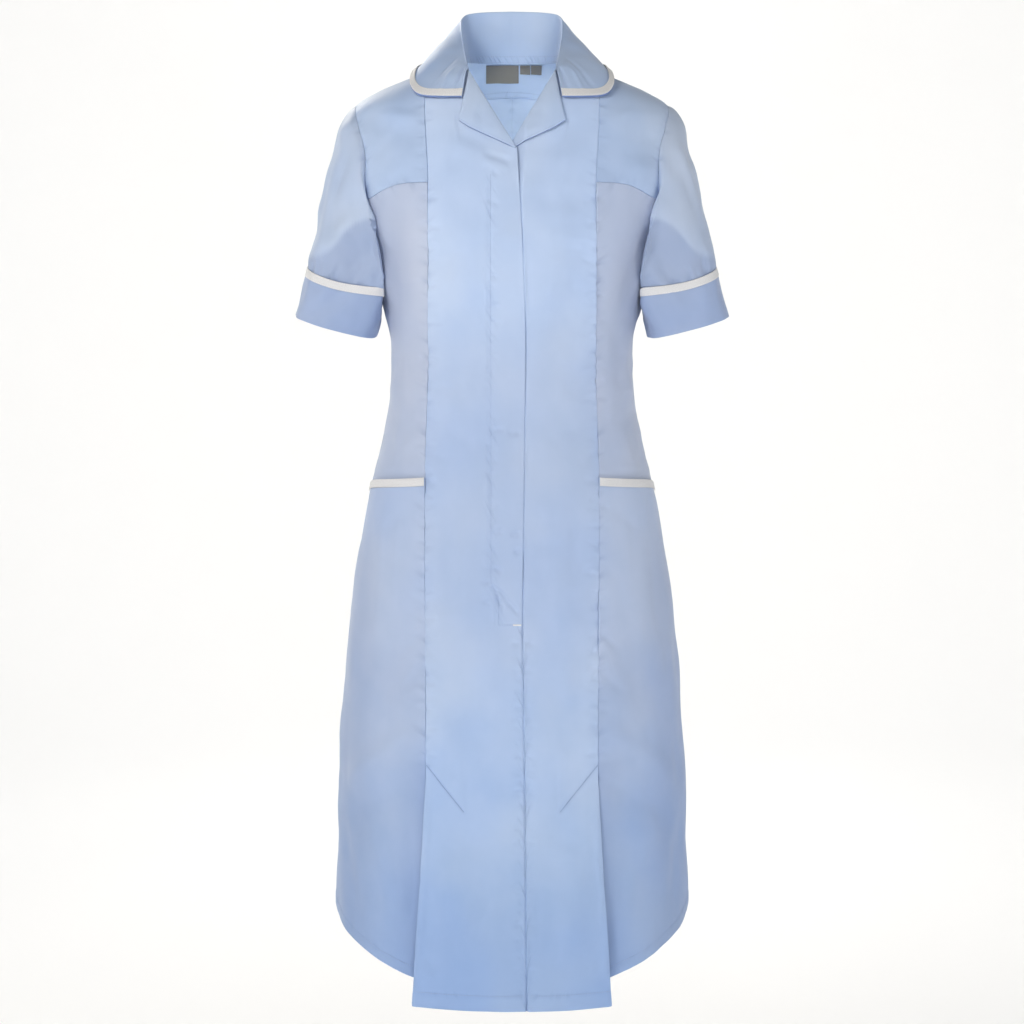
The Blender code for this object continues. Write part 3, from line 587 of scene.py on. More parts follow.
# How each kind was cut, as far as it shows: width, length and flat area, how it is held and by what
CUTS = {
    "front_right": (0.130, 1.075, 0.1134, "hung", ("yoke_front", "side_front", "back_yoke", "collar")),
    "front_left": (0.125, 1.075, 0.1053, "hung", ("yoke_front", "side_front", "back_yoke", "collar")),
    "yoke_front": (0.089, 0.174, 0.0128, "hung", ("back_yoke", "sleeve")),
    "side_front": (0.165, 0.513, 0.0575, "hung", ("yoke_front", "front", "sleeve")),
    "skirt_side": (0.210, 0.558, 0.0909, "hung", ("side_front", "front", "back")),
    "pocket_tape": (0.133, 0.0102, None, "laid", ("skirt_side",)),
    "pleat": (0.119, 0.241, 0.0239, "folded", ("front", "skirt_side")),
    "lapel": (0.105, 0.045, 0.0024, "folded", ("front", "collar")),
    "back": (0.295, 0.974, 0.2128, "hung", ("back_yoke", "sleeve")),
    "back_yoke": (0.417, 0.150, 0.0332, "hung", ("collar",)),
    "label_main": (0.035, 0.026, None, "hung", ("back_yoke",)),
    "label_size": (0.012, 0.013, None, "hung", ("back_yoke",)),
    "label_fit": (0.012, 0.013, None, "hung", ("back_yoke",)),
    "sleeve": (0.528, 0.190, 0.0430, "hung", ("yoke_front", "back")),
    "cuff": (0.365, 0.061, 0.0198, "hung", ("sleeve",)),
    "cuff_tape": (0.374, 0.0102, None, "laid", ("cuff",)),
    "collar": (0.603, 0.139, 0.0465, "folded", ("back_yoke", "front_right", "front_left")),
    "collar_tape": (0.611, 0.0102, None, "laid", ("collar",)),
}
WHOLE = ("back_yoke", "collar", "front_right", "front_left")  # holders named in full


def sewn(name, side_word, face, out, material=None, thickness=CLOTH, ring=False,
         upright=(), level=(), shade=0.0):
    """Makes one panel's wall, puts it in place of its solid and looks up its cut.

    upright and level name the edges with seams that pucker, and shade is painted shade on the cloth.
    """
    node = name + ("_" + side_word if side_word else "")
    material = material or BLUES[name]
    grid = face.shape[:2]
    beside = [near_seams(face, edges) if isinstance(edges, tuple) else edges for edges in (upright, level)]
    marks = np.stack([np.broadcast_to(a, grid) for a in (*beside, shade)], axis=-1)
    piece = wall(node + "_cloth", face, out, material, thickness, ring, marks)
    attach(piece, "root")
    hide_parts(node)
    width, length, area, held, holders = CUTS[node] if node in CUTS else CUTS[name]
    holders = [kind if kind in WHOLE else kind + "_" + side_word for kind in holders]


# Materials


class Value:
    """A number that varies over a surface: a socket whose sums are written in Python."""

    def __init__(self, finish, socket):
        self.finish, self.socket = finish, socket

    def _math(self, how, *terms):
        return self.finish.node("ShaderNodeMath", {"operation": how}, dict(enumerate(terms)))

    def __add__(self, other):
        return self._math("ADD", self, other)

    __radd__ = __add__

    def __sub__(self, other):
        return self._math("SUBTRACT", self, other)

    def __rsub__(self, other):
        return self._math("SUBTRACT", other, self)

    def __mul__(self, other):
        return self._math("MULTIPLY", self, other)

    __rmul__ = __mul__

    def __pow__(self, other):
        return self._math("POWER", self, other)

    def sine(self):
        return self._math("SINE", self)

    def above(self, low, high):
        """0 under low, 1 over high and a smooth step between."""
        return self.finish.node("ShaderNodeMapRange", {"interpolation_type": "SMOOTHSTEP"},
                                {"Value": self, "From Min": low, "From Max": high}, "Result")


class Finish:
    """A material with one Principled shader, and the nodes that feed it."""

    def __init__(self, name, **constants):
        self.material = bpy.data.materials.new(name)
        self.material.use_nodes = True
        self.tree = self.material.node_tree
        self.shader = self.tree.nodes["Principled BSDF"]
        for socket, value in constants.items():
            self.shader.inputs[socket.replace("_", " ")].default_value = value

    def node(self, kind, settings=None, inputs=None, output=0):
        made = self.tree.nodes.new(kind)
        for key, value in (settings or {}).items():
            setattr(made, key, value)
        for key, value in (inputs or {}).items():
            if isinstance(value, Value):
                self.tree.links.new(value.socket, made.inputs[key])
            else:
                made.inputs[key].default_value = value
        return Value(self, made.outputs[output])

    def noise(self, where, scale, detail=2.0, rough=0.5):
        return self.node("ShaderNodeTexNoise", {}, {"Vector": where, "Scale": scale, "Detail": detail,
                                                    "Roughness": rough}, "Fac")

    def stretched(self, where, x, y, z=1.0):
        """Coordinates multiplied by a number along each axis."""
        return self.node("ShaderNodeVectorMath", {"operation": "MULTIPLY"}, {0: where, 1: (x, y, z)})

    def blend(self, share, a, b):
        """A colour between a and b."""
        mixed = self.node("ShaderNodeMix", {"data_type": "RGBA"}, {"Factor": share}, 2)
        for key, value in ((6, a), (7, b)):
            if isinstance(value, Value):
                self.tree.links.new(value.socket, mixed.socket.node.inputs[key])
            else:
                mixed.socket.node.inputs[key].default_value = (*value, 1.0)
        return mixed

    def feed(self, socket, value):
        self.tree.links.new(value.socket, self.shader.inputs[socket])

    def raised(self, height, distance, strength=1.0, over=None):
        under = {} if over is None else {"Normal": over}
        values = {"Height": height, "Distance": distance, "Strength": strength, **under}
        bump = self.node("ShaderNodeBump", {}, values)
        self.feed("Normal", bump)
        return bump

    def times(self, colour, factors):
        """A colour multiplied by three numbers."""
        return self.node("ShaderNodeVectorMath", {"operation": "MULTIPLY"}, {0: colour, 1: factors})


def dress_cloth(name, tint=(1.0, 1.0, 1.0), pucker=1.0):
    """Piece-dyed twill: a fine diagonal weave, uneven threads both ways and soft clouds of shade.

    Each panel has its own tint, partly the cut's own tone and partly painted shade for how
    the light falls on that panel, and painted shade makes the cloth darker and bluer towards
    the hem. The mesh's own marks say where seams pucker it, with painted shade in the
    puckers' troughs, and where painted shade darkens it.
    """
    finish = Finish(name, Metallic=0.0, Sheen_Weight=0.18, Sheen_Roughness=0.45, Specular_IOR_Level=0.35)
    flat = finish.node("ShaderNodeUVMap", {"uv_map": "cloth"})
    place = finish.node("ShaderNodeTexCoord", output="Object")
    split = finish.node("ShaderNodeSeparateXYZ", {}, {0: flat})
    across = split
    down = Value(finish, split.socket.node.outputs[1])
    low = Value(finish, finish.node("ShaderNodeSeparateXYZ", {}, {0: place}).socket.node.outputs[2])
    twill = ((across + down * 1.7) * (2 * math.pi / 0.00075)).sine() * 0.5 + 0.5
    warp = finish.noise(finish.stretched(flat, 1800.0, 40.0), 1.0, 2.0)
    weft = finish.noise(finish.stretched(flat, 40.0, 1500.0), 1.0, 2.0)
    clouds = finish.noise(place, 14.0, 3.0, 0.55)
    wash = finish.noise(finish.stretched(place, 34.0, 34.0, 16.0), 1.0, 2.0, 0.5)
    threads = (warp + weft) * 0.5
    share = clouds.above(0.30, 0.70) * 0.40 + wash.above(0.30, 0.70) * 0.25 + threads * 0.22 + twill * 0.13
    # Painted shade: a share that grows towards the hem, by height, for a darker and bluer colour there
    high = ((low + (clouds - 0.5) * 0.16) * -1.0).above(0.56, 0.98)
    marks = finish.node("ShaderNodeAttribute", {"attribute_name": "puckers_and_painted_shade"}, {}, 0)
    parted = finish.node("ShaderNodeSeparateColor", {}, {0: marks})
    upright, level, shade = (Value(finish, parted.socket.node.outputs[i]) for i in range(3))
    long, short = 30.0, 88.0 * pucker  # a pucker is longer across its seam than along it
    leaning = finish.node("ShaderNodeCombineXYZ", {}, {0: across * long, 1: (down + across * 0.35) * short})
    standing = finish.node("ShaderNodeCombineXYZ", {}, {0: (across + down * 0.25) * short, 1: down * long})
    notches = finish.noise(leaning, 1.0, 1.0, 0.4).above(0.47, 0.78) * upright
    notches = notches + finish.noise(standing, 1.0, 1.0, 0.4).above(0.47, 0.78) * level
    light = finish.blend(high, [c * k for c, k in zip(CLOTH_LIGHT, tint)],
                         [c * k * m for c, k, m in zip(CLOTH_LIGHT, tint, PAINTED_HEM_SHADE)])
    dark = finish.blend(high, [c * k for c, k in zip(CLOTH_DARK, tint)],
                        [c * k * m for c, k, m in zip(CLOTH_DARK, tint, PAINTED_HEM_SHADE)])
    plain = finish.blend(share, dark, light)
    warmth = finish.noise(finish.stretched(place, 7.0, 7.0, 5.0), 1.0, 2.0, 0.5).above(0.38, 0.62)
    cool, warm = finish.times(plain, (0.935, 0.965, 1.0)), finish.times(plain, (1.03, 1.015, 0.985))
    plain = finish.blend(warmth, cool, warm)
    # Painted shade: the puckers' troughs are darker in colour as well as sunk by the bump
    plain = finish.blend(notches * 0.42, plain, finish.times(plain, (0.52, 0.58, 0.72)))
    # Painted shade wherever the mesh's marks put it
    finish.feed("Base Color", finish.blend(shade, plain, finish.times(plain, (0.30, 0.36, 0.56))))
    finish.feed("Roughness", threads * 0.16 + clouds * 0.12 + 0.42)
    seams = finish.raised(notches * -1.0, 0.00095, 1.0)
    finish.raised(twill * 0.30 + threads * 0.55 + wash * 0.6, 0.00012, 0.6, over=seams)
    return finish.material


def braid(name):
    """Woven white tape: herringbone ribs along it, in bands, with a firm edge."""
    finish = Finish(name, Metallic=0.0, Sheen_Weight=0.2, Specular_IOR_Level=0.35)
    flat = finish.node("ShaderNodeUVMap", {"uv_map": "cloth"})
    split = finish.node("ShaderNodeSeparateXYZ", {}, {0: flat})
    down = Value(finish, split.socket.node.outputs[1])
    zigzag = finish.node("ShaderNodeMath", {"operation": "PINGPONG"}, {0: down, 1: 0.0016})
    ribs = ((split + zigzag * 1.2) * (2 * math.pi / 0.0011)).sine() * 0.5 + 0.5
    threads = finish.noise(finish.stretched(flat, 900.0, 900.0), 1.0, 2.0)
    shadow, white = (0.52, 0.53, 0.57), (0.86, 0.86, 0.87)
    finish.feed("Base Color", finish.blend(ribs * 0.5 + threads * 0.5, shadow, white))
    finish.feed("Roughness", threads * 0.2 + 0.55)
    finish.raised(ribs * 0.8 + threads * 0.2, 0.00016, 0.7)
    return finish.material


def label_cloth(name):
    """Grey woven satin: fine level ribs, a soft gloss and a few pale threads."""
    finish = Finish(name, Metallic=0.0, Specular_IOR_Level=0.5)
    flat = finish.node("ShaderNodeUVMap", {"uv_map": "cloth"})
    split = finish.node("ShaderNodeSeparateXYZ", {}, {0: flat})
    down = Value(finish, split.socket.node.outputs[1])
    ribs = (down * (2 * math.pi / 0.0006)).sine() * 0.5 + 0.5
    threads = finish.noise(finish.stretched(flat, 300.0, 2200.0), 1.0, 2.0)
    dark, pale = (0.090, 0.092, 0.099), (0.155, 0.157, 0.166)
    finish.feed("Base Color", finish.blend(ribs * 0.3 + threads * 0.7, dark, pale))
    finish.feed("Roughness", threads * 0.2 + 0.38)
    finish.raised(ribs, 0.00006, 0.6)
    return finish.material


def thread(name, colour):
    """Sewing thread: two plies that twist along each stitch."""
    finish = Finish(name, Metallic=0.0, Sheen_Weight=0.2, Specular_IOR_Level=0.4)
    place = finish.node("ShaderNodeTexCoord", output="Object")
    plies = finish.noise(place, 4000.0, 1.0)
    finish.feed("Base Color", finish.blend(plies, [c * 0.86 for c in colour], colour))
    finish.feed("Roughness", plies * 0.2 + 0.45)
    return finish.material


CLOTH_LIGHT = (0.500, 0.605, 0.820)
CLOTH_DARK = (0.435, 0.550, 0.780)
# Painted shade: how much darker and bluer the cloth is made at the hem
PAINTED_HEM_SHADE = (0.75, 0.85, 0.96)
# The tint of each kind of panel: partly the cut's own tone, partly painted shade for how the light falls on it
TINTS_AND_SHADE = {
    "front": (1.00, 1.00, 1.00),
    "yoke_front": (0.87, 0.89, 0.91),
    "side_front": (0.95, 0.88, 0.84),
    "skirt_side": (0.88, 0.87, 0.89),
    "pleat": (0.90, 0.94, 0.98),
    "lapel": (0.92, 0.93, 0.94),
    "back": (0.97, 0.98, 1.00),
    "back_yoke": (0.86, 0.90, 0.96),
    "sleeve": (0.91, 0.89, 0.87),
    "cuff": (0.68, 0.70, 0.77),
    "collar": (0.87, 0.91, 0.96),
}
BLUES = {kind: dress_cloth("blue_cloth_" + kind, tint, 2.2 if kind == "collar" else 1.0)
         for kind, tint in TINTS_AND_SHADE.items()}
WHITE = braid("white_tape")
GREY = label_cloth("grey_label")
BLUE_THREAD = thread("blue_thread", (0.34, 0.45, 0.70))
# A darker thread for the pleats' slanting stitches: the thread is real, its darker colour is painted shade along the
# stitched ridge
SHADED_THREAD = thread("shaded_blue_thread", (0.22, 0.31, 0.55))
WHITE_THREAD = thread("white_thread", (0.86, 0.86, 0.88))


# Fronts


def roll_height(across):
    """Height of the line along which the lapel turns back."""
    slope = (GORGE[1] - BREAK[1]) / (GORGE[0] + BREAK[0])
    return GORGE[1] - (GORGE[0] - across) * slope


def pleat_edge(height):
    """Distance of the centre front's edge from the middle: the seam, then the free edge."""
    free = np.clip((PLEAT_TOP - 0.012 - height) / (PLEAT_TOP - 0.012 - FRONT_HEM), 0, 1)
    return mix(princess(height), PLEAT_EDGE, free)


def kick(across, height):
    """How far the centre front stands out near its free edges."""
    low = ease((PLEAT_TOP - height) / (PLEAT_TOP - FRONT_HEM))
    return 0.004 * low * ease(np.abs(across) / PLEAT_EDGE)


def lap_rise(height):
    """Width over which the left front rises from under the right one: more by the lapels."""
    return mix(0.0016, 0.010, ease((height + 0.140) / 0.045))


def tucked_under(across, height):
    """How far the left front dips to pass behind the right one, across being to its left.

    It dips further where it is hidden, so that the right one's creases stay clear of it.
    """
    beyond_edge = across - fly_edge(height)
    top = ease((height + 0.140) / 0.045)
    at_edge = mix(CLOTH + 0.0001, 2 * WALL + 3 * REST + 0.0010, top)
    hidden = mix(0.0036, 0.0052, top)
    seen = at_edge * (1 - ease(beyond_edge / lap_rise(height)))
    return seen + (hidden - at_edge) * ease(-beyond_edge / 0.0045)


def top_edge(start, share):
    """Across and height along a front's top: up the roll line, round the neck, out the shoulder."""
    roll = np.linspace(start, GORGE[0], 80)
    turn = np.radians(np.linspace(NECK_SIDE[0][0], 90, 60))
    shoulder = np.linspace(NECK_HALF, float(princess(0.0)), 60)
    points = np.concatenate([front_at(roll, roll_height(roll)), round_at(turn, neck_side(np.degrees(turn))),
                             front_at(shoulder, shoulder_height(shoulder))])
    gone = run(points[None], 1)[0]
    place = share * gone[-1]
    return np.interp(place, gone, points[:, 0]), np.interp(place, gone, points[:, 2])


def front_rows():
    """Heights of a front's rows below the yoke seam's level, closer together at the hem."""
    tall = float(yoke_seam(0.0)) - FRONT_HEM
    return float(yoke_seam(0.0)) - tall * spaced(tall, 0.0021, (False, True))


def front_block(side, edge_low, edge_high, share, top):
    """A front's points between two lines that run down it, by a share of the way across."""
    top_across, top_height = top
    low = front_rows()[:, None]
    down = np.linspace(0, 1, 44)[:-1, None] ** 1.3
    height = np.concatenate([mix(top_height[None, :], low[0], down), low + 0 * top_height[None, :]])
    start, end = edge_low(height), edge_high(height)
    start_top, end_top = edge_low(top_height), edge_high(top_height)
    share_top = (top_across - start_top) / (end_top - start_top)
    across = start + (end - start) * mix(share_top, share, ease((top_height - height) / 0.110))
    return across, height


def front_grid(side):
    """A front's columns across and rows down, before it is moved out."""
    if side < 0:
        fly = spaced(FLY_STITCH + 0.013, 0.0019, (True, False))[:-1]
        panel = spaced(0.070, 0.0020, (False, True))
        roll_from = -BREAK[0]
        at_line = (FLY_STITCH - roll_from) * fly + roll_from
        first = front_block(side, lambda h: -fly_edge(h), lambda h: FLY_STITCH + 0 * h, fly,
                            (at_line, roll_height(at_line)))
        second = front_block(side, lambda h: FLY_STITCH + 0 * h, pleat_edge, panel, top_edge(FLY_STITCH, panel))
        across, height = (np.concatenate(pair, axis=1) for pair in zip(first, second))
    else:
        start = lambda h: fly_edge(h) + 0.0003 + lap_rise(h)
        panel = spaced(0.080, 0.0020, (False, True))
        across, height = front_block(side, start, pleat_edge, panel, top_edge(float(start(BREAK[1])), panel))
        flap = mix(FLAP, FLAP_BELOW, ease((FLY_END - height[:, :1]) / 0.03))
        edge = fly_edge(height[:, :1])
        reach = np.array([-1.0, -0.85, -0.6, -0.3, -0.08, 0.0])[None, :] * flap
        rise = np.array([0.12, 0.3, 0.5, 0.7, 0.88])[None, :] * lap_rise(height[:, :1])
        behind = edge + 0.0003 + np.concatenate([reach, rise], axis=1)
        behind_height = height[:, :1] + 0 * behind
        top = slice(0, 43)
        slope = roll_height(behind[:1]) - height[:1, :1]
        behind_height[top] += slope * (1 - np.linspace(0, 1, 44)[:-1, None] ** 1.3)
        across = np.concatenate([behind, across], axis=1)
        height = np.concatenate([behind_height, height], axis=1)
    corner = np.clip((across[-1] - PLEAT_EDGE + 0.005) / 0.005, 0, 1)
    height[-1] = FRONT_HEM + FRONT_HEM_RISE * (across[-1] / PLEAT_EDGE) ** 2 + 0.0016 * corner ** 3
    return across, height


# Soft folds of the fronts, in across and height of the wearer's right front (mirrored for the left)
# across and height from, across and height to, width, depth
SEAM_SEED = 500
CHEST_FOLDS = (
    (0.0900, -0.2040, 0.0540, -0.1930, 0.0085, -0.0015),
    (0.0880, -0.2260, 0.0500, -0.2180, 0.0100, 0.0012),
    (0.0860, -0.2480, 0.0620, -0.2380, 0.0070, -0.0010),
    (0.0350, -0.1020, 0.0760, -0.0700, 0.0110, 0.0012),
    (0.0300, -0.1500, 0.0700, -0.1350, 0.0120, -0.0010),
    (0.0780, -0.3060, 0.0400, -0.2830, 0.0110, -0.0016),
    (0.0880, -0.3200, 0.0520, -0.3080, 0.0080, 0.0012),
    (0.0900, -0.3370, 0.0560, -0.3420, 0.0080, -0.0015),
    (0.0880, -0.3640, 0.0470, -0.3540, 0.0090, 0.0013),
    (0.0700, -0.3860, 0.0380, -0.4010, 0.0100, -0.0015),
    (0.0560, -0.3300, 0.0330, -0.3650, 0.0080, 0.0013),
    (0.0900, -0.4050, 0.0700, -0.4150, 0.0070, -0.0011),
)
SKIRT_FOLDS = (
    (0.0700, -0.4750, 0.0660, -0.5500, 0.0085, -0.0018),
    (0.0500, -0.5000, 0.0540, -0.6100, 0.0110, 0.0014),
    (0.0840, -0.5900, 0.0560, -0.5750, 0.0090, 0.0014),
    (0.0840, -0.6100, 0.0660, -0.6900, 0.0100, -0.0015),
    (0.0420, -0.6400, 0.0620, -0.7200, 0.0120, -0.0014),
    (0.0350, -0.7200, 0.0600, -0.7500, 0.0100, 0.0014),
    (0.0300, -0.8200, 0.0750, -0.8350, 0.0120, -0.0013),
    (0.0300, -0.8700, 0.0460, -0.9600, 0.0130, -0.0018),
    (0.0650, -0.8500, 0.0700, -0.9400, 0.0150, 0.0018),
    (0.1000, -0.8700, 0.0880, -0.9000, 0.0050, -0.0011),
    (0.1010, -0.9530, 0.0800, -0.9680, 0.0070, -0.0014),
    (0.1020, -0.9660, 0.0860, -0.9800, 0.0050, 0.0010),
    (0.0930, -0.8700, 0.0820, -0.9950, 0.0110, -0.0012),
    (0.0860, -0.4380, 0.0960, -0.4420, 0.0028, -0.0012),
    (0.0960, -0.4480, 0.0840, -0.4580, 0.0030, -0.0015),
    (0.0960, -0.6000, 0.0880, -0.6220, 0.0036, -0.0015),
    (0.0960, -0.6420, 0.0870, -0.6560, 0.0036, -0.0016),
)
# Folds of the fly, which only the right front has
FLY_FOLDS = (
    (0.0285, -0.0915, 0.0020, -0.0985, 0.0045, -0.0016),
    (0.0300, -0.0995, 0.0040, -0.1060, 0.0050, 0.0011),
    (0.0200, -0.1090, 0.0150, -0.1150, 0.0028, -0.0009),
    (0.0215, -0.2185, 0.0145, -0.2170, 0.0028, -0.0011),
    (0.0220, -0.2510, 0.0130, -0.2500, 0.0030, -0.0012),
    (0.0218, -0.2680, 0.0120, -0.2675, 0.0030, -0.0012),
    (0.0215, -0.3850, 0.0080, -0.3835, 0.0030, -0.0015),
    (0.0050, -0.3870, -0.0110, -0.3865, 0.0034, -0.0011),
    (0.0212, -0.4400, 0.0205, -0.4640, 0.0026, -0.0012),
    (0.0215, -0.4915, 0.0100, -0.4900, 0.0032, -0.0016),
    (0.0020, -0.4940, -0.0110, -0.4935, 0.0032, -0.0014),
    (-0.0020, -0.5120, -0.0110, -0.5115, 0.0030, -0.0015),
    (0.0210, -0.5300, 0.0100, -0.5330, 0.0030, -0.0018),
    (0.0218, -0.5490, 0.0080, -0.5600, 0.0026, -0.0019),
    (0.0110, -0.5585, -0.0085, -0.5800, 0.0026, -0.0019),
    (0.0185, -0.5590, 0.0090, -0.5715, 0.0026, -0.0019),
    (0.0330, -0.5450, 0.0240, -0.5455, 0.0026, -0.0012),
    (0.0320, -0.5665, 0.0230, -0.5670, 0.0026, -0.0012),
)


def under_collar(across, height):
    """1 on the open cloth and 0 where the lapels or the collar lie over it."""
    below = ease((np.interp(across, [0.0, LAPEL_TIP[0], 0.060, 0.11], [-0.092, -0.068, -0.046, -0.046])
                  - height) / 0.015)
    return below


def beyond(across, height, start, end):
    """Signed distance from the line through two points, positive below it for a line that falls."""
    run_a, run_h = end[0] - start[0], end[1] - start[1]
    return ((across - start[0]) * run_h - (height - start[1]) * run_a) / math.hypot(run_a, run_h)


def front_relief(side, across, height):
    """How far a front's creases, puckers and stitch lines move its cloth."""
    seed = 10 if side < 0 else 40
    folds = list(CHEST_FOLDS + SKIRT_FOLDS)
    if side > 0:
        rng = np.random.default_rng(seed)
        folds = [(a0, b0 + d, a1, b1 + d, w, z * rng.uniform(0.6, 1.2))
                 for (a0, b0, a1, b1, w, z), d in zip(folds, rng.uniform(-0.010, 0.010, len(folds)))]
    moved = creased(across, height, folds) + rumple(across, height * 0.7, seed + 1)
    seam = pucker_rows(SEAM_SEED + side, -0.13, PLEAT_TOP, princess, -1)
    middle = pucker_rows(SEAM_SEED, FRONT_HEM + 0.012, FLY_END - 0.006, lambda h: side * fly_edge(h), 1,
                         gap=(0.008, 0.016), reach=(0.007, 0.014), depth=(0.0006, 0.0014))
    moved = moved + creased(across, height, seam + middle)

    from_diagonal = beyond(across, height, (PLEAT_SLANT, PLEAT_TOP), (PLEAT_FOLD, PLEAT_FOLD_TOP))
    on_diagonal = ease((across - PLEAT_FOLD + 0.004) / 0.006) * ease((0.0955 - across) / 0.004)
    step = ease(from_diagonal / 0.0030 + 0.5) * ease((0.060 - from_diagonal) / 0.060)
    moved = moved + on_diagonal * (0.0010 * step - 0.0004 * np.exp(-(from_diagonal / 0.0014) ** 2))

    free = ease((PLEAT_TOP - 0.015 - height) / 0.02)
    inwards = pleat_edge(height) - across
    wave = 1 + 0.6 * swell(height, 0 * height, 0.050, seed + 6)
    moved = moved + free * 0.0011 * wave * np.exp(-((inwards - 0.0045) / 0.003) ** 2)

    if side < 0:
        moved = moved + creased(across, height, FLY_FOLDS)
        beside = pucker_rows(seed + 4, FLY_STITCH_TURN[0], FLY_STITCH_TOP, lambda h: FLY_STITCH, -1,
                             gap=(0.009, 0.024), reach=(0.005, 0.011), depth=(0.0003, 0.0008))
        beside += pucker_rows(seed + 5, FLY_STITCH_TURN[0], FLY_STITCH_TOP, lambda h: FLY_STITCH, 1,
                              gap=(0.014, 0.034), reach=(0.005, 0.010), depth=(0.0003, 0.0007))
        moved = moved + creased(across, height, beside)
        line = fly_stitch_line(height)
        on_line = ease((FLY_STITCH_TOP - height) / 0.01) * ease((height - FLY_END + 0.001) / 0.002)
        band = ease((line - across) / 0.0016 + 0.5) * ease((height - FLY_END + 0.0008) / 0.0016)
        moved = moved + 0.00055 * band * ease((FLY_STITCH_TOP + 0.02 - height) / 0.03)
        moved = moved - on_line * 0.00050 * np.exp(-((across - line) / 0.0013) ** 2)
        moved = moved + on_line * 0.00040 * np.exp(-((across - line - 0.0050) / 0.0026) ** 2)
    hem = height - FRONT_HEM
    at_hem = np.exp(-((hem - HEM_DEPTH * 0.6) / 0.008) ** 2)
    ruck = 0.00030 * swell(across, 0 * across, 0.020, seed + 8) * at_hem
    moved = moved + 0.00045 * ease((HEM_DEPTH - hem) / 0.0015) + ruck
    moved = moved - 0.00030 * np.exp(-((hem - HEM_DEPTH) / 0.0013) ** 2)
    layered = ease((PLEAT_TOP - height) / 0.02)
    moved = np.maximum(moved, mix(-0.004, -0.0018, layered))
    if side < 0:
        moved = np.where(moved < 0, moved * ease((across + fly_edge(height)) / 0.005), moved)
    return moved * under_collar(np.abs(across), height)


def fly_stitch_line(height):
    """Distance of the fly's stitch line from the middle: straight, then slanting in to the box."""
    top, turn = FLY_STITCH_TURN
    return mix(FLY_STITCH, FLY_BOX, ease((top - height) / (top - turn)))


def front(side, word):
    across, height = front_grid(side)
    base = front_at(across, height)
    out = outward(base)
    relief = front_relief(side, across, height)
    if side > 0:
        relief = relief * ease((across - fly_edge(height)) / 0.004)
    lift = kick(across, height) + relief
    if side > 0:
        lift = lift - tucked_under(across, height)
    face = base + out * lift[..., None]
    free = ease((PLEAT_TOP - height[:, -1]) / 0.006)[:, None]
    seam = rolled(face, out, ("right",))
    fold = rolled(face, out, ("right",), FOLD_ROLL)
    face = mix(seam, fold, free[..., None])
    if side < 0:
        face = rolled(face, out, ("left",), FOLD_ROLL)
    face, out = to_side(face, side), to_side(out, side)
    # Painted shade: darker over the waist and hips, and again towards the hem
    shade = 0.17 * ease((-0.24 - height) / 0.10) * ease((height + 0.74) / 0.22)
    shade = shade + 0.13 * ease((-0.80 - height) / 0.15)
    upright = near_seams(face, ("right",))
    if side < 0:
        line = np.exp(-(np.abs(across - fly_stitch_line(height)) / 0.005) ** 1.5)
        line = line * ease((FLY_STITCH_TOP + 0.002 - height) / 0.004)
        line = line * ease((height - FLY_END + 0.004) / 0.004)
        upright = np.maximum(upright, 0.8 * line)
    centre = np.exp(-(np.abs(across - side * fly_edge(height)) / 0.0050) ** 1.5)
    centre = centre * ease((FLY_END + 0.002 - height) / 0.004)
    free = ease((PLEAT_TOP - height) / 0.006)
    upright = np.maximum(0.8 * upright * (1 - free), 0.85 * centre)
    # Painted shade in a narrow band along the pleat's slanting stitch line
    slope = np.array([PLEAT_FOLD - PLEAT_SLANT, PLEAT_FOLD_TOP - PLEAT_TOP])
    aside, below = np.abs(across) - PLEAT_SLANT, height - PLEAT_TOP
    way = np.clip((aside * slope[0] + below * slope[1]) / (slope @ slope), 0, 1)
    gap = np.hypot(aside - way * slope[0], below - way * slope[1])
    shade = shade + 0.13 * np.exp(-(gap / 0.0022) ** 2)
    hem = 0.5 * np.exp(-((height - FRONT_HEM - HEM_DEPTH) / 0.004) ** 2)
    sewn("front", word, face, out, upright=upright, level=hem, shade=shade)
    return across, height, face, out


def yoke_front(side, word):
    """The shoulder piece: from the shoulder seam down to a curved seam across the chest."""
    share = spaced(0.080)[None, :]
    top = shoulder_height(mix(princess(0.0), half_width(SHOULDER), share))
    down = spaced(0.105)[:, None]
    height = mix(top, yoke_seam(share), down)
    arm = armhole_at(armhole_angle(np.minimum(height, SHOULDER)))[..., 0]
    across = mix(princess(height), arm, share)
    seam = side_points(share, yoke_seam(share))[..., 0]
    base = front_at(across + (seam - across[-1]) * down ** 2, height)
    out = outward(base)
    x, z = base[..., 0], base[..., 2]
    folds = [(0.150, -0.060, 0.115, -0.105, 0.012, -0.0012), (0.160, -0.095, 0.120, -0.120, 0.010, 0.0010),
             (0.100, -0.060, 0.135, -0.048, 0.010, 0.0008)]
    puckers = pucker_rows(70 + side, -0.045, -0.120, princess, 1, gap=(0.012, 0.022), depth=(0.0003, 0.0006))
    relief = creased(x, z, folds + puckers) + rumple(x, z, 71 + side, 0.050)
    relief = relief * ease((-0.040 - z) / 0.015) * ease(from_edge(base, "right") / 0.006 + 0.1)
    face = rolled(base + out * relief[..., None], out, ("left", "top", "bottom"))
    face = rolled(face, out, ("right",), ARM_ROLL)
    face, out = to_side(face, side), to_side(out, side)
    sewn("yoke_front", word, face, out, upright=("left", "right"), level=("bottom",))


def side_points(share, height):
    """Points on the body between the princess seam and the armhole or side seam."""
    inner = turn_of(front_at(princess(height), height))
    return round_at(mix(inner, body_edge_turn(height), share), height)


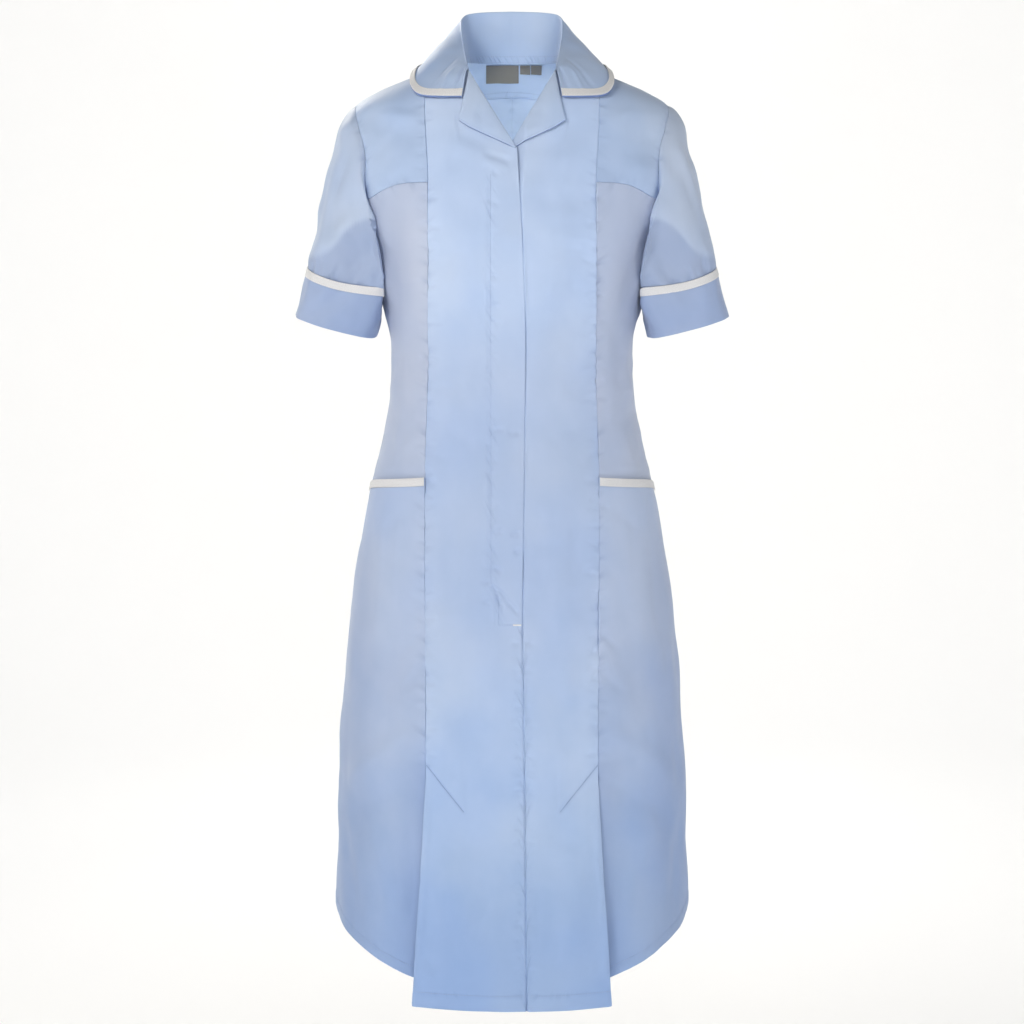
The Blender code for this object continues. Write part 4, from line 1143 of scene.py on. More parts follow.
# Folds of the side pieces, in distance round from the princess seam and height
SIDE_FOLDS = (
    (0.095, -0.158, 0.045, -0.215, 0.0110, -0.0022),
    (0.100, -0.185, 0.060, -0.240, 0.0110, 0.0018),
    (0.100, -0.215, 0.075, -0.270, 0.0100, -0.0014),
    (0.030, -0.230, 0.060, -0.190, 0.0120, 0.0012),
    (0.020, -0.300, 0.085, -0.330, 0.0110, -0.0016),
    (0.010, -0.345, 0.090, -0.350, 0.0090, 0.0014),
    (0.015, -0.385, 0.080, -0.372, 0.0100, -0.0016),
    (0.020, -0.410, 0.050, -0.400, 0.0090, 0.0011),
)
HIP_FOLDS = (
    (0.015, -0.470, 0.060, -0.500, 0.0080, -0.0012),
    (0.035, -0.480, 0.040, -0.580, 0.0100, 0.0010),
    (0.080, -0.500, 0.088, -0.620, 0.0160, -0.0020),
    (0.000, -0.600, 0.024, -0.622, 0.0040, -0.0016),
    (0.000, -0.640, 0.028, -0.668, 0.0060, -0.0020),
    (0.020, -0.600, 0.060, -0.690, 0.0170, -0.0026),
    (0.120, -0.560, 0.110, -0.690, 0.0170, 0.0022),
    (0.118, -0.782, 0.051, -0.736, 0.0130, 0.0030),
    (0.060, -0.742, 0.006, -0.705, 0.0120, 0.0026),
    (0.110, -0.822, 0.020, -0.772, 0.0160, -0.0030),
    (0.080, -0.815, 0.030, -0.900, 0.0160, 0.0026),
    (0.020, -0.810, 0.014, -0.930, 0.0120, -0.0022),
    (0.140, -0.830, 0.110, -0.930, 0.0170, -0.0028),
    (0.070, -0.880, 0.060, -0.950, 0.0140, -0.0020),
    (0.160, -0.700, 0.165, -0.860, 0.0180, 0.0022),
)


def side_front(side, word):
    """From the yoke seam past the pocket mouth, then behind it as the pocket's inner layer."""
    share = spaced(0.095)[None, :]
    start = armhole_angle(yoke_seam(1.0))
    arm = armhole_at(np.linspace(start, math.pi, 42))[:, 2]
    mouth_low = float(pocket_mouth(0.0)) + POCKET_LEAD
    outer = np.concatenate([arm, np.linspace(UNDERARM, float(pocket_mouth(1.0)) + POCKET_LEAD, 92)[1:]])[:, None]
    inner = np.concatenate([mix(float(yoke_seam(0.0)), -0.2180, np.linspace(0, 1, 42) ** 1.2),
                            np.linspace(-0.2180, mouth_low, 92)[1:]])[:, None]
    near = np.array(RIM[1:])[:, None] / (inner[0] - inner[-1])
    inner = np.concatenate([inner[:1], mix(inner[0], inner[-1], near), inner[1:]])
    outer = np.concatenate([outer[:1], mix(outer[0], outer[-1], near), outer[1:]])
    order = np.argsort(-inner[:, 0])
    inner, outer = inner[order], -np.sort(-outer, axis=0)
    fraction = (outer - outer[0]) / (outer[-1] - outer[0])
    bow_top = yoke_seam(share) - mix(inner[0], outer[0], share)
    bow_low = pocket_mouth(share) + POCKET_LEAD - mix(inner[-1], outer[-1], share)
    height = mix(inner, outer, share) + mix(bow_top, bow_low, fraction)
    lead = np.linspace(POCKET_LEAD, 0, 7)[1:, None]
    behind = np.linspace(0, POCKET_DEPTH, 26)[1:, None]
    height = np.concatenate([height, pocket_mouth(share) + lead, pocket_mouth(share) - behind])
    base = side_points(share, height)
    out = outward(base)
    below = pocket_mouth(share) + POCKET_LEAD - height
    dip = (WALL + REST + 0.0001) * ease(below / (POCKET_LEAD - 0.002))
    dip = dip + 0.0042 * ease((below - POCKET_LEAD) / 0.030)
    round_by = run(base, 1)
    seed = 100 + side
    puckers = pucker_rows(SEAM_SEED + side, -0.13, PLEAT_TOP, lambda h: 0.0, 1)
    relief = creased(round_by, height, list(SIDE_FOLDS) + puckers)
    relief = relief + 0.7 * rumple(round_by, height, seed + 5, 0.065)
    relief = relief * (1 - ease(below / POCKET_LEAD)) - dip
    relief = relief * ease(from_edge(base, "right") / 0.006 + 0.1)
    face = rolled(base + out * relief[..., None], out, ("left", "top"))
    face = rolled(face, out, ("right",), ARM_ROLL)
    # Painted shade: darker under the bust away from the princess seam, and a little at the waist
    chest = 0.30 * np.exp(-((height + 0.215) / 0.060) ** 2) * ease((round_by - 0.008) / 0.035)
    waist = 0.08 * np.exp(-((height + 0.325) / 0.050) ** 2)
    face, out = to_side(face, side), to_side(out, side)
    sewn("side_front", word, face, out, upright=("left", "right"), level=("top",), shade=chest + waist)


def pleat_dip(height):
    """How far back the side piece's free edge tucks in behind the centre front."""
    start = (WALL * 2 + REST * 2) * 1.12
    below = PLEAT_TOP - height
    back_by = start * ease(below / PLEAT_START) + 0.0080 * ease(below / (PLEAT_TOP - FRONT_HEM))
    return join(0.0, back_by, 0.0)


def skirt_side_points(side):
    """The lower side piece from the pocket mouth to the hem, with its folds."""
    share = spaced(0.150, 0.0027)[None, :]
    mouth = pocket_mouth(share)
    bottom = side_hem(np.degrees(mix(math.radians(SIDE_HEM[0][0]), math.pi / 2, share)))
    pocket = np.linspace(0, 0.046, 20)[:-1, None]
    rest = spaced(0.50, 0.0031, (False, True))[:, None]
    height = np.concatenate([mouth - pocket, mix(mouth - 0.046, bottom, rest)])
    base = side_points(share, height)
    out = outward(base)
    from_seam = base[..., 0] - princess(height)
    tuck = pleat_dip(height) * (1 - ease(from_seam / 0.060))[..., None]
    gape = 0.0012 * np.sin(math.pi * share) * (1 - ease((mouth - height) / 0.05))
    round_by = run(base, 1)
    seed = 140 + side
    puckers = pucker_rows(SEAM_SEED + side, -0.13, PLEAT_TOP, lambda h: 0.0, 1)
    relief = creased(round_by, height, list(HIP_FOLDS) + puckers)
    relief = relief + 0.65 * rumple(round_by, height * 0.7, seed + 5)
    relief = relief * ease((mouth - height - TAPE_WIDTH) / 0.012)
    free_side = ease((PLEAT_TOP - height) / 0.02) * (1 - ease(from_seam / 0.020))
    relief = relief * (1 - free_side)
    hem = height - bottom
    relief = relief + 0.00040 * ease((SIDE_HEM_DEPTH - hem) / 0.0015)
    relief = relief - 0.00030 * np.exp(-((hem - SIDE_HEM_DEPTH) / 0.0013) ** 2)
    return base + tuck + out * (gape + relief)[..., None], out, pocket.size


def skirt_side(side, word):
    face, out, _ = skirt_side_points(side)
    face = rolled(face, out, ("left", "right"))
    drop = np.broadcast_to(face[..., 2], face.shape[:2])
    sewn_on = ease((drop - PLEAT_TOP) / 0.006)
    # Painted shade: a darker patch below the pocket, darker towards the outer side below the hips, and darker beside
    # the pleat where the side piece tucks behind the centre front
    fold = 0.10 * np.exp(-((drop + 0.655) / 0.045) ** 2) * np.exp(-((run(face, 1) - 0.045) / 0.045) ** 2)
    outer = 0.16 * ease((run(face, 1) - 0.050) / 0.05) * ease((-0.46 - drop) / 0.10)
    outer = outer + 0.16 * (1 - sewn_on) * np.exp(-(run(face, 1) / 0.024) ** 2)
    hem = 0.5 * np.exp(-((from_edge(face, "bottom") - SIDE_HEM_DEPTH) / 0.004) ** 2)
    face, out = to_side(face, side), to_side(out, side)
    sewn("skirt_side", word, face, out, upright=near_seams(face, ("left", "right")) * sewn_on, level=hem,
         shade=fold + outer)
    return face, out


def strip_of(face, out, width, edge="top", step=0.0010, start=0.0):
    """A stretch of a grid along an edge, of the given width, on rows of its own."""
    gone = from_edge(face, edge)
    if edge == "bottom":
        gone, face, out = gone[::-1], face[::-1], out[::-1]
    places = start + np.linspace(0, width, int(round(width / step)) + 1)
    columns = range(face.shape[1])
    points = np.stack([np.stack([np.interp(places, gone[:, c], face[:, c, k]) for k in range(3)], axis=-1)
                       for c in columns], axis=1)
    ways = np.stack([np.stack([np.interp(places, gone[:, c], out[:, c, k]) for k in range(3)], axis=-1)
                     for c in columns], axis=1)
    return points, ways / np.linalg.norm(ways, axis=-1, keepdims=True)


def tape_form(points, ways, lift):
    """A tape's face: laid on the cloth with both long edges thin and a slight crown."""
    across = np.linspace(-1, 1, points.shape[0])[:, None]
    crown = 0.00022 * (1 - across ** 6) + 0.00010 * (np.abs(across) > 0.72) * (np.abs(across) < 0.94)
    return points + ways * (lift + crown)[..., None]


def pocket_tape(side, word):
    """Tape over the pocket's edge."""
    face, out, _ = skirt_side_points(side)
    points, ways = strip_of(face, out, TAPE_WIDTH)
    lying = tape_form(points, ways, REST + WALL * 0.75)
    face, out = to_side(lying, side), to_side(ways, side)
    sewn("pocket_tape", word, face, out, WHITE, thickness=TAPE)
    return face, out


def pleat(side, word):
    """The pleat folded behind the free edge: in from the side piece, round, and out again."""
    rows = spaced(0.22, 0.0040, (False, True))[:, None]
    share = np.linspace(0, 1, 24)[None, :]
    top = mix(PLEAT_FOLD_TOP, PLEAT_TOP - PLEAT_START, share)
    height = mix(top, FRONT_HEM + 0.006, rows)
    outer_across = mix(PLEAT_FOLD, pleat_edge(height) - 0.0010, share)
    inner_across = mix(PLEAT_FOLD, princess(height) - 0.0006, share)
    outer = front_at(outer_across, height)
    inner = front_at(inner_across, height)
    up, down = outward(outer), outward(inner)
    stand = kick(outer_across, height)
    behind = 0.0014 * ease((1 - share) / 0.25) * ease(rows / 0.15)
    front_layer = outer + up * (stand - WALL - REST - behind)[..., None]
    back_layer = inner + pleat_dip(height) - down * WALL
    half_gap = np.linalg.norm(front_layer[:, 0] - back_layer[:, 0], axis=-1)[:, None] / 2
    middle = (front_layer[:, :1] + back_layer[:, :1]) / 2
    round_fold = np.radians(np.linspace(0, 180, 11)[1:-1])[None, :]
    way_out = up[:, :1]
    way_in = np.array([-1.0, 0.0, 0.0])
    bend = middle + way_out * (half_gap * np.cos(round_fold))[..., None] \
        + way_in * (half_gap * np.sin(round_fold))[..., None]
    bend_out = way_out * np.cos(round_fold)[..., None] + way_in * np.sin(round_fold)[..., None]
    face = np.concatenate([front_layer[:, ::-1], bend, back_layer], axis=1)
    out = np.concatenate([up[:, ::-1], bend_out, -down], axis=1)
    sewn("pleat", word, to_side(face, side), to_side(out, side))


# Lapels


def lapel(side, word):
    """Cloth turned back over the front: columns from the roll line down to its own edge."""
    start = -BREAK[0] + 0.0020
    inner = np.linspace(start, GORGE[0], 34)
    across = np.concatenate([inner, np.linspace(GORGE[0], LAPEL_TIP[0], 9)[1:]])[None, :]
    outer_line = mix(GORGE[1], LAPEL_TIP[1] + 0.0012, (across - GORGE[0]) / (LAPEL_TIP[0] - GORGE[0]))
    top = np.where(across <= GORGE[0], roll_height(across), outer_line)
    bottom = np.interp(across, [-BREAK[0], LAPEL_ELBOW[0], LAPEL_TIP[0]],
                       [BREAK[1] - 0.0008, LAPEL_ELBOW[1], LAPEL_TIP[1]])
    share = spaced(0.050, 0.0016)[:, None]
    height = mix(top, bottom, share)
    across = across + 0 * height
    base = front_at(across, height)
    out = outward(base)
    lift = REST + WALL + 0.0003 + 0.0014 * ease((across - 0.030) / 0.012)
    soft = (share * (1 - share) * 4) ** 0.7
    lift = lift + soft * 0.0022 * ease((across + 0.002) / 0.020)
    lift = lift + 0.0008 * ease((share - 0.55) / 0.45) * ease((across + 0.002) / 0.020)
    lift = lift + soft * creased(across, height, [(0.020, -0.045, 0.040, -0.056, 0.006, -0.0008),
                                                  (0.010, -0.070, 0.030, -0.066, 0.005, 0.0006)])
    if side > 0:
        lift = lift - tucked_under(across, height)
    face = base + out * (lift + 0 * across)[..., None]
    face = rolled(face, out, ("top",), 0.0013)
    face = rolled(face, out, ("bottom",), FOLD_ROLL)
    # Painted shadow: a dark line along the last millimetre of the lapel's lower edge
    dark = ease((0.0011 - from_edge(face, "bottom")) / 0.0006) * ease((across + 0.002) / 0.006)
    face, out = to_side(face, side), to_side(out, side)
    sewn("lapel", word, face, out, shade=dark)
    return face, out


# Back


def back_shares(step=0.0036):
    return spaced(0.24, step)[None, :]


def back_yoke_seam(share):
    """Height of the back yoke's seam from the armhole to the centre back."""
    return mix(BACK_YOKE_MIDDLE, BACK_YOKE_ARMHOLE, (1 - share ** 1.15) ** 1.8)


def back_points(share, height):
    """Points on the back between the shoulder, armhole or side seam and the centre back."""
    edge = np.where(height > SHOULDER, math.pi / 2, body_edge_turn(height, False))
    return round_at(mix(edge, math.pi, share ** 1.15), height)


def back_yoke():
    """From the neck and shoulder seams down to the yoke seam, both sides in one."""
    share = np.concatenate([spaced(0.18, 0.0028, (True, False))])[None, :]
    ridge = np.array([NECK_HEIGHT, 0.0, -0.008, -0.018, -0.029, SHOULDER, -0.058, BACK_YOKE_ARMHOLE])
    even = spaced(0.100, 0.0026)
    ridge = np.interp(even * (len(ridge) - 1), np.arange(len(ridge)), ridge)
    fraction = ((ridge - ridge[0]) / (ridge[-1] - ridge[0]))[:, None]
    half = back_points(share, mix(NECK_HEIGHT, back_yoke_seam(share), fraction))
    both = np.concatenate([half, to_side(half[:, -2::-1], -1)], axis=1)
    out = outward(both)
    x, z = both[..., 0], both[..., 2]
    soft = ease(from_edge(both, "top") / 0.02) * ease(from_edge(both, "bottom") / 0.01)
    relief = 0.0006 * swell(x, z, 0.060, 201) * soft
    face = rolled(both + out * relief[..., None], out, ("left", "right", "top", "bottom"))
    sewn("back_yoke", "", face, out, level=("bottom",))
    return face, out


# Folds of the backs, in distance from the middle and height
BACK_FOLDS = (
    (0.140, -0.150, 0.060, -0.200, 0.0130, -0.0020),
    (0.145, -0.190, 0.080, -0.250, 0.0130, 0.0016),
    (0.110, -0.290, 0.020, -0.305, 0.0100, -0.0022),
    (0.100, -0.315, 0.015, -0.330, 0.0090, 0.0018),
    (0.105, -0.345, 0.030, -0.352, 0.0100, -0.0022),
    (0.090, -0.375, 0.020, -0.368, 0.0100, 0.0014),
    (0.120, -0.410, 0.060, -0.392, 0.0110, -0.0014),
    (0.080, -0.620, 0.070, -0.760, 0.0200, -0.0030),
    (0.120, -0.700, 0.125, -0.900, 0.0220, 0.0030),
    (0.040, -0.760, 0.045, -0.960, 0.0220, 0.0026),
    (0.085, -0.840, 0.090, -0.980, 0.0180, -0.0026),
    (0.160, -0.760, 0.165, -0.930, 0.0180, -0.0024),
)


def back(side, word):
    """From the yoke seam to the hem, between the centre back and the armhole or side seam."""
    share = back_shares()
    start = 2 * math.pi - armhole_angle(BACK_YOKE_ARMHOLE)
    arm = armhole_at(np.linspace(start, math.pi, 42))[:, 2]
    low = UNDERARM - (UNDERARM - side_hem(90.0)) * spaced(0.72, 0.0046, (False, True))
    edge = np.concatenate([arm, low[1:]])[:, None]
    near = edge[0] - np.array(RIM[1:])[:, None] * 1.0
    edge = -np.sort(-np.concatenate([edge, near]), axis=0)
    fraction = (edge - edge[0]) / (edge[-1] - edge[0])
    top = back_yoke_seam(share)
    bottom = side_hem(np.degrees(mix(math.pi / 2, math.pi, share ** 1.15)))
    height = edge + (top - edge[0]) * (1 - fraction) + (bottom - edge[-1]) * fraction
    base = back_points(share, height)
    out = outward(base)
    x = base[..., 0]
    seed = 220 + side
    rng = np.random.default_rng(seed)
    folds = [(a0, b0 + d, a1, b1 + d, w, z * rng.uniform(0.7, 1.2))
             for (a0, b0, a1, b1, w, z), d in zip(BACK_FOLDS, rng.uniform(-0.012, 0.012, len(BACK_FOLDS)))]
    puckers = pucker_rows(SEAM_SEED + 7, -0.98, -0.05, lambda h: 0.0, 1)
    relief = creased(x, height, folds) + rumple(x, height * 0.8, seed + 3, 0.085)
    relief = relief * ease((x - 0.003) / 0.035) + creased(x, height, puckers)
    relief = relief * ease(from_edge(base, "left") / 0.02) * ease(from_edge(base, "top") / 0.015)
    relief = relief + 0.00035 * ease((SIDE_HEM_DEPTH - (height - bottom)) / 0.0015)
    face = rolled(base + out * relief[..., None], out, ("right", "top"), ARM_ROLL)
    face = rolled(face, out, ("left",), ARM_ROLL)
    face, out = to_side(face, side), to_side(out, side)
    hem = 0.5 * np.exp(-((height - bottom - SIDE_HEM_DEPTH) / 0.004) ** 2)
    sewn("back", word, face, out, upright=("right",), level=hem)
    return face, out


def label(name, left, right, bottom):
    """A flat label hanging from the neck seam, inside the back yoke, its lower edge curling out."""
    height = np.linspace(NECK_HEIGHT - 0.0019, bottom, 20)[:, None]
    across = np.linspace(left + 0.0003, right - 0.0003, 20)[None, :]
    inside = 1 - (np.abs(across) / half_width(height)) ** BACK_POWER
    base = join(across, depth_back(height) * inside ** (1 / BACK_POWER), height)
    out = outward(base)
    t = (height - height[0]) / (height[-1] - height[0])
    middle = (left + right) / 2
    hang = 0.0010 * t ** 2 + 0.0003 * np.sin((across - middle) * 260) * t
    face = base - out * (WALL + 2 * REST + hang)[..., None]
    sewn(name, "", face - out * 0.0002, -out, GREY, thickness=0.0004)
    return face, out


# Sleeves


def sleeve_axis():
    """The way up the sleeve: square to its hem, seen from the front."""
    tilt = np.array([HEM_INNER[0] - HEM_OUTER[0], 0, HEM_INNER[1] - HEM_OUTER[1]])
    tilt = tilt / np.linalg.norm(tilt)
    return np.array([tilt[2], 0, -tilt[0]])


def hem_ring(angle):
    """The sleeve's hem: a squarish oval, 0 outside, 90 degrees forward, 180 inside."""
    outer = np.array([HEM_OUTER[0], 0, HEM_OUTER[1]])
    inner = np.array([HEM_INNER[0], 0, HEM_INNER[1]])
    c, s = np.cos(angle), np.sin(angle)
    radius = (np.abs(c) ** HEM_POWER + np.abs(s) ** HEM_POWER) ** (-1 / HEM_POWER)
    middle = (outer + inner) / 2 + np.array([0, HEM_FORWARD, 0])
    along = (outer - inner) / 2
    forward = np.array([0, -HEM_HALF_DEPTH, 0])
    return middle + (radius * c)[..., None] * along + (radius * s)[..., None] * forward


def cuff_tall(angle):
    return mix(CUFF_OUTER, CUFF_INNER, (1 - np.cos(angle)) / 2) - CUFF_SAG * np.sin(angle) ** 2


def fuller(share, rows, angle):
    """How the sleeve's inner corners reach inwards, more in front than behind."""
    turn, middle = np.degrees(angle), 118 + 18 * (rows - 0.5)
    ahead = share * FULL_REACH * np.exp(-((turn - middle) / 28) ** 2)
    behind = share * FULL_REACH * 0.5 * np.exp(-((360 - turn - middle) / 28) ** 2)
    return join(-ahead - behind, 0.4 * (behind - ahead), 0.0)


def cuff_at(rows, angle):
    """Points of the cuff: fraction from its hem up to its seam."""
    ring = hem_ring(angle) + sleeve_axis() * (rows * cuff_tall(angle))[..., None]
    return pushed_clear(ring + fuller(FULLNESS[-1][1] * rows, 1.0, angle), SLEEVE_CLEAR)


def sleeve_at(rows, angle):
    """Points of the sleeve: fraction from the armhole seam down to the cuff seam.

    Each line down the sleeve is a cubic that leaves the armhole turned out of the
    body's face, by 13 degrees at the shoulder and 168 degrees under the arm, and
    ends along the sleeve's own axis.
    """
    start = armhole_at(angle)
    out = outward(start)
    step = 1e-4
    round_way = armhole_at(angle + step) - armhole_at(angle - step)
    round_way = round_way / np.linalg.norm(round_way, axis=-1, keepdims=True)
    into = np.cross(round_way, out)
    into = into * np.sign((into * (np.array([0.17, 0, -0.132]) - start)).sum(-1, keepdims=True))
    turned = np.radians(mix(13.0, 168.0, ((1 - np.cos(angle)) / 2) ** 0.9))[..., None]
    way = np.cos(turned) * into + np.sin(turned) * out
    start = start + 0.00006 * (np.cos(turned / 2) * into + np.sin(turned / 2) * out)
    end = hem_ring(angle) + sleeve_axis() * cuff_tall(angle)[..., None]
    far = np.linalg.norm(end - start, axis=-1, keepdims=True)
    t = rows[..., None]
    points = ((1 - t) ** 3 * start + 3 * t * (1 - t) ** 2 * (start + way * far * 0.15)
              + 3 * t * t * (1 - t) * (end + sleeve_axis() * far * 0.24) + t ** 3 * end)
    points = points + fuller(curve(FULLNESS)(rows), rows, angle)
    near = ease(t[..., 0] / 0.25)
    clear = pushed_clear(points, SLEEVE_CLEAR)
    return mix(points, clear, near[..., None])


# Folds of the sleeve, in degrees round and fraction of the way down
# from, to, width and depth in metres
SLEEVE_FOLDS = (
    (118, 0.02, 90, 0.44, 0.0150, 0.0040),
    (92, 0.36, 60, 0.82, 0.0150, 0.0042),
    (66, 0.74, 18, 0.97, 0.0130, 0.0026),
    (138, 0.10, 108, 0.56, 0.0120, -0.0042),
    (112, 0.46, 84, 0.92, 0.0120, -0.0036),
    (150, 0.30, 122, 0.80, 0.0100, 0.0026),
    (168, 0.30, 138, 0.95, 0.0090, -0.0026),
    (62, 0.10, 42, 0.60, 0.0120, -0.0016),
    (100, 0.76, 92, 1.02, 0.0050, -0.0016),
    (112, 0.80, 116, 1.02, 0.0044, -0.0016),
    (78, 0.82, 70, 1.02, 0.0050, -0.0014),
    (50, 0.84, 54, 1.02, 0.0045, -0.0013),
    (246, 0.04, 272, 0.50, 0.0150, 0.0036),
    (268, 0.42, 300, 0.86, 0.0150, 0.0036),
    (228, 0.12, 252, 0.60, 0.0120, -0.0038),
    (250, 0.50, 276, 0.92, 0.0120, -0.0030),
    (200, 0.30, 222, 0.90, 0.0100, -0.0024),
    (300, 0.12, 318, 0.60, 0.0120, -0.0016),
    (285, 0.80, 278, 1.02, 0.0048, -0.0014),
    (20, 0.35, 8, 0.80, 0.0140, 0.0014),
    (340, 0.25, 350, 0.70, 0.0140, -0.0014),
)
SLEEVE_ROUND = 0.00144  # metres to a degree
SLEEVE_TALL = 0.180
CUFF_ROUND = 0.00096
CUFF_TALL = 0.055
# The same for the cuff, from its hem up
CUFF_FOLDS = (
    (52, 0.05, 84, 0.80, 0.0080, -0.0014),
    (34, 0.10, 20, 0.85, 0.0090, 0.0011),
    (120, 0.00, 108, 0.70, 0.0090, -0.0015),
    (140, 0.10, 128, 0.80, 0.0080, 0.0012),
    (88, 0.20, 100, 0.90, 0.0070, 0.0010),
    (250, 0.10, 266, 0.75, 0.0090, -0.0014),
    (290, 0.05, 284, 0.70, 0.0090, 0.0012),
)


def arm_pieces(side, word):
    """The sleeve, its cuff, and the tape over the seam between them."""
    angles = np.linspace(0, 2 * math.pi, 169)[None, :-1]
    rows = spaced(0.17, 0.0029)[:, None] + 0 * angles
    angles = angles + 0 * rows
    face = sleeve_at(rows, angles)
    out = outward_of(sleeve_at, rows, angles, face)
    seed = 300 + side
    folds = [(a0 * SLEEVE_ROUND, t0 * SLEEVE_TALL, a1 * SLEEVE_ROUND, t1 * SLEEVE_TALL, w, d)
             for a0, t0, a1, t1, w, d in SLEEVE_FOLDS]
    rng = np.random.default_rng(seed)
    for _ in range(22):
        a, far = rng.uniform(0, 360) * SLEEVE_ROUND, rng.uniform(0.008, 0.020)
        folds.append((a, SLEEVE_TALL * 1.02, a + rng.uniform(-0.006, 0.006), SLEEVE_TALL - far,
                      rng.uniform(0.0026, 0.0040), -rng.uniform(0.0006, 0.0013)))
    for _ in range(14):
        a = rng.uniform(-80, 80) % 360 * SLEEVE_ROUND
        folds.append((a, -0.004, a + rng.uniform(-0.003, 0.003), rng.uniform(0.008, 0.016),
                      rng.uniform(0.0026, 0.0040), -rng.uniform(0.0003, 0.0008)))
    relief = creased(np.degrees(angles) * SLEEVE_ROUND, rows * SLEEVE_TALL, folds)
    relief = relief + rumple(face[..., 0] + face[..., 1], face[..., 2], seed, 0.06)
    tight = ease((clearance(face)[0] - SLEEVE_CLEAR) / 0.006)
    relief = np.where(relief < 0, relief * tight, relief) * ease(rows / 0.08)
    face = face + out * relief[..., None]
    face = rolled(face, out, ("bottom",))
    face = rolled(face, out, ("top",), ARM_ROLL)
    turn = np.degrees(angles)
    turn = np.minimum(turn, 360 - turn)
    # Painted shade: the sleeve is darker on its inner and lower part, below a line that falls from the armpit towards
    # the outside of the cuff
    start = curve(((0, 1.2), (18, 0.97), (60, 0.80), (90, 0.42), (118, 0.06), (150, 0.0)))(turn)
    low = 0.34 * ease((rows - start + 0.025) / 0.055)
    worn, away = to_side(face, side), to_side(out, side)
    sewn("sleeve", word, worn, away, ring=True, level=("bottom", "top"), shade=low)

    rows = spaced(CUFF_TALL, 0.0024)[:, None] + 0 * angles[:1]
    angles = angles[:1] + 0 * rows
    face = cuff_at(rows, angles)
    out = outward_of(cuff_at, rows, angles, face)
    folds = [(a0 * CUFF_ROUND, t0 * CUFF_TALL, a1 * CUFF_ROUND, t1 * CUFF_TALL, w, d)
             for a0, t0, a1, t1, w, d in CUFF_FOLDS]
    relief = creased(np.degrees(angles) * CUFF_ROUND, rows * CUFF_TALL, folds)
    relief = relief + rumple(face[..., 0] + face[..., 1], face[..., 2], seed + 7, 0.05)
    tight = ease((clearance(face)[0] - SLEEVE_CLEAR) / 0.006)
    relief = np.where(relief < 0, relief * tight, relief) * ease((1 - rows) / 0.25)
    face = face + out * relief[..., None]
    cuff_face = rolled(rolled(face, out, ("bottom",)), out, ("top",), FOLD_ROLL)
    cuff_face, cuff_out = to_side(cuff_face, side), to_side(out, side)
    sewn("cuff", word, cuff_face, cuff_out, ring=True)

    tape_rows = np.linspace(1 - TAPE_WIDTH / CUFF_OUTER, 1, 11)[:, None] + 0 * angles[:1]
    angles = angles[:1] + 0 * tape_rows
    face = cuff_at(tape_rows, angles)
    out = outward_of(cuff_at, tape_rows, angles, face)
    lying = tape_form(face, out, REST + WALL * 0.75)
    tape_face, tape_out = to_side(lying, side), to_side(out, side)
    sewn("cuff_tape", word, tape_face, tape_out, WHITE, thickness=TAPE, ring=True)
    return cuff_face, cuff_out, tape_face, tape_out


def outward_of(shape, rows, angles, face):
    """Directions out of a ring-shaped surface."""
    out = grid_normals(shape, rows, angles)
    middle = face.mean(axis=(0, 1))
    return -out if ((face - middle) * out).sum() < 0 else out


# Collar


def neck_seam(share):
    """The neck's edge from the gorge (0) round to the centre back (1)."""
    side_part = 0.42
    low = NECK_SIDE[0][0]
    turn = np.where(share < side_part, mix(low, 90.0, share / side_part),
                    mix(90.0, 180.0, (share - side_part) / (1 - side_part)))
    height = np.where(share < side_part, neck_side(turn), NECK_HEIGHT)
    return round_at(np.radians(turn), height)


def collar_at(rows, share):
    """The collar's upper face: up the stand, over the fold and down the leaf.

    rows runs 0 to 1 from the neck seam to the leaf's edge; share runs -1 to 1 from the
    right end round the back to the left end.
    """
    way = 1 - np.abs(share)
    base = neck_seam(way) + np.array([0, 0, 0.0009])
    lapped = ease((way - 0.10) / 0.10)[..., None]
    base = base - lapped * (outward(base) * np.array([0.0022, 0.0022, 0]) + np.array([0, 0, 0.0024]))
    roll = join(*[curve(ROLL, c)(way) for c in (1, 2, 3)])
    edge = join(*[curve(LEAF_EDGE, c)(way) for c in (1, 2, 3)])
    edge = pushed_clear(edge, WALL + REST + 0.0012)
    flat = edge - roll
    flat = flat * np.array([1, 1, 0])
    flat = flat / np.linalg.norm(flat, axis=-1, keepdims=True)
    stand_part, fold_part = 0.25, 0.45
    stand = mix(base, roll, np.clip(rows / stand_part, 0, 1)[..., None])
    bend = (math.pi * np.clip((rows - stand_part) / (fold_part - stand_part), 0, 1))[..., None]
    centre = roll + flat * FOLD_RADIUS
    fold = centre - flat * FOLD_RADIUS * np.cos(bend) + np.array([0, 0, 1]) * FOLD_RADIUS * np.sin(bend)
    fall = np.clip((rows - fold_part) / (1 - fold_part), 0, 1)[..., None]
    top = centre + flat * FOLD_RADIUS
    leaf = mix(top, edge, fall) + np.array([0, 0, 0.004]) * np.sin(math.pi * fall)
    resting = pushed_clear(leaf, WALL + REST + 0.0008)
    leaf = mix(leaf, resting, ease(fall / 0.25))
    lower = np.where((rows < stand_part)[..., None], stand, fold)
    points = np.where((rows < fold_part)[..., None], lower, leaf)
    return points * join(np.sign(share), 1.0, 1.0)


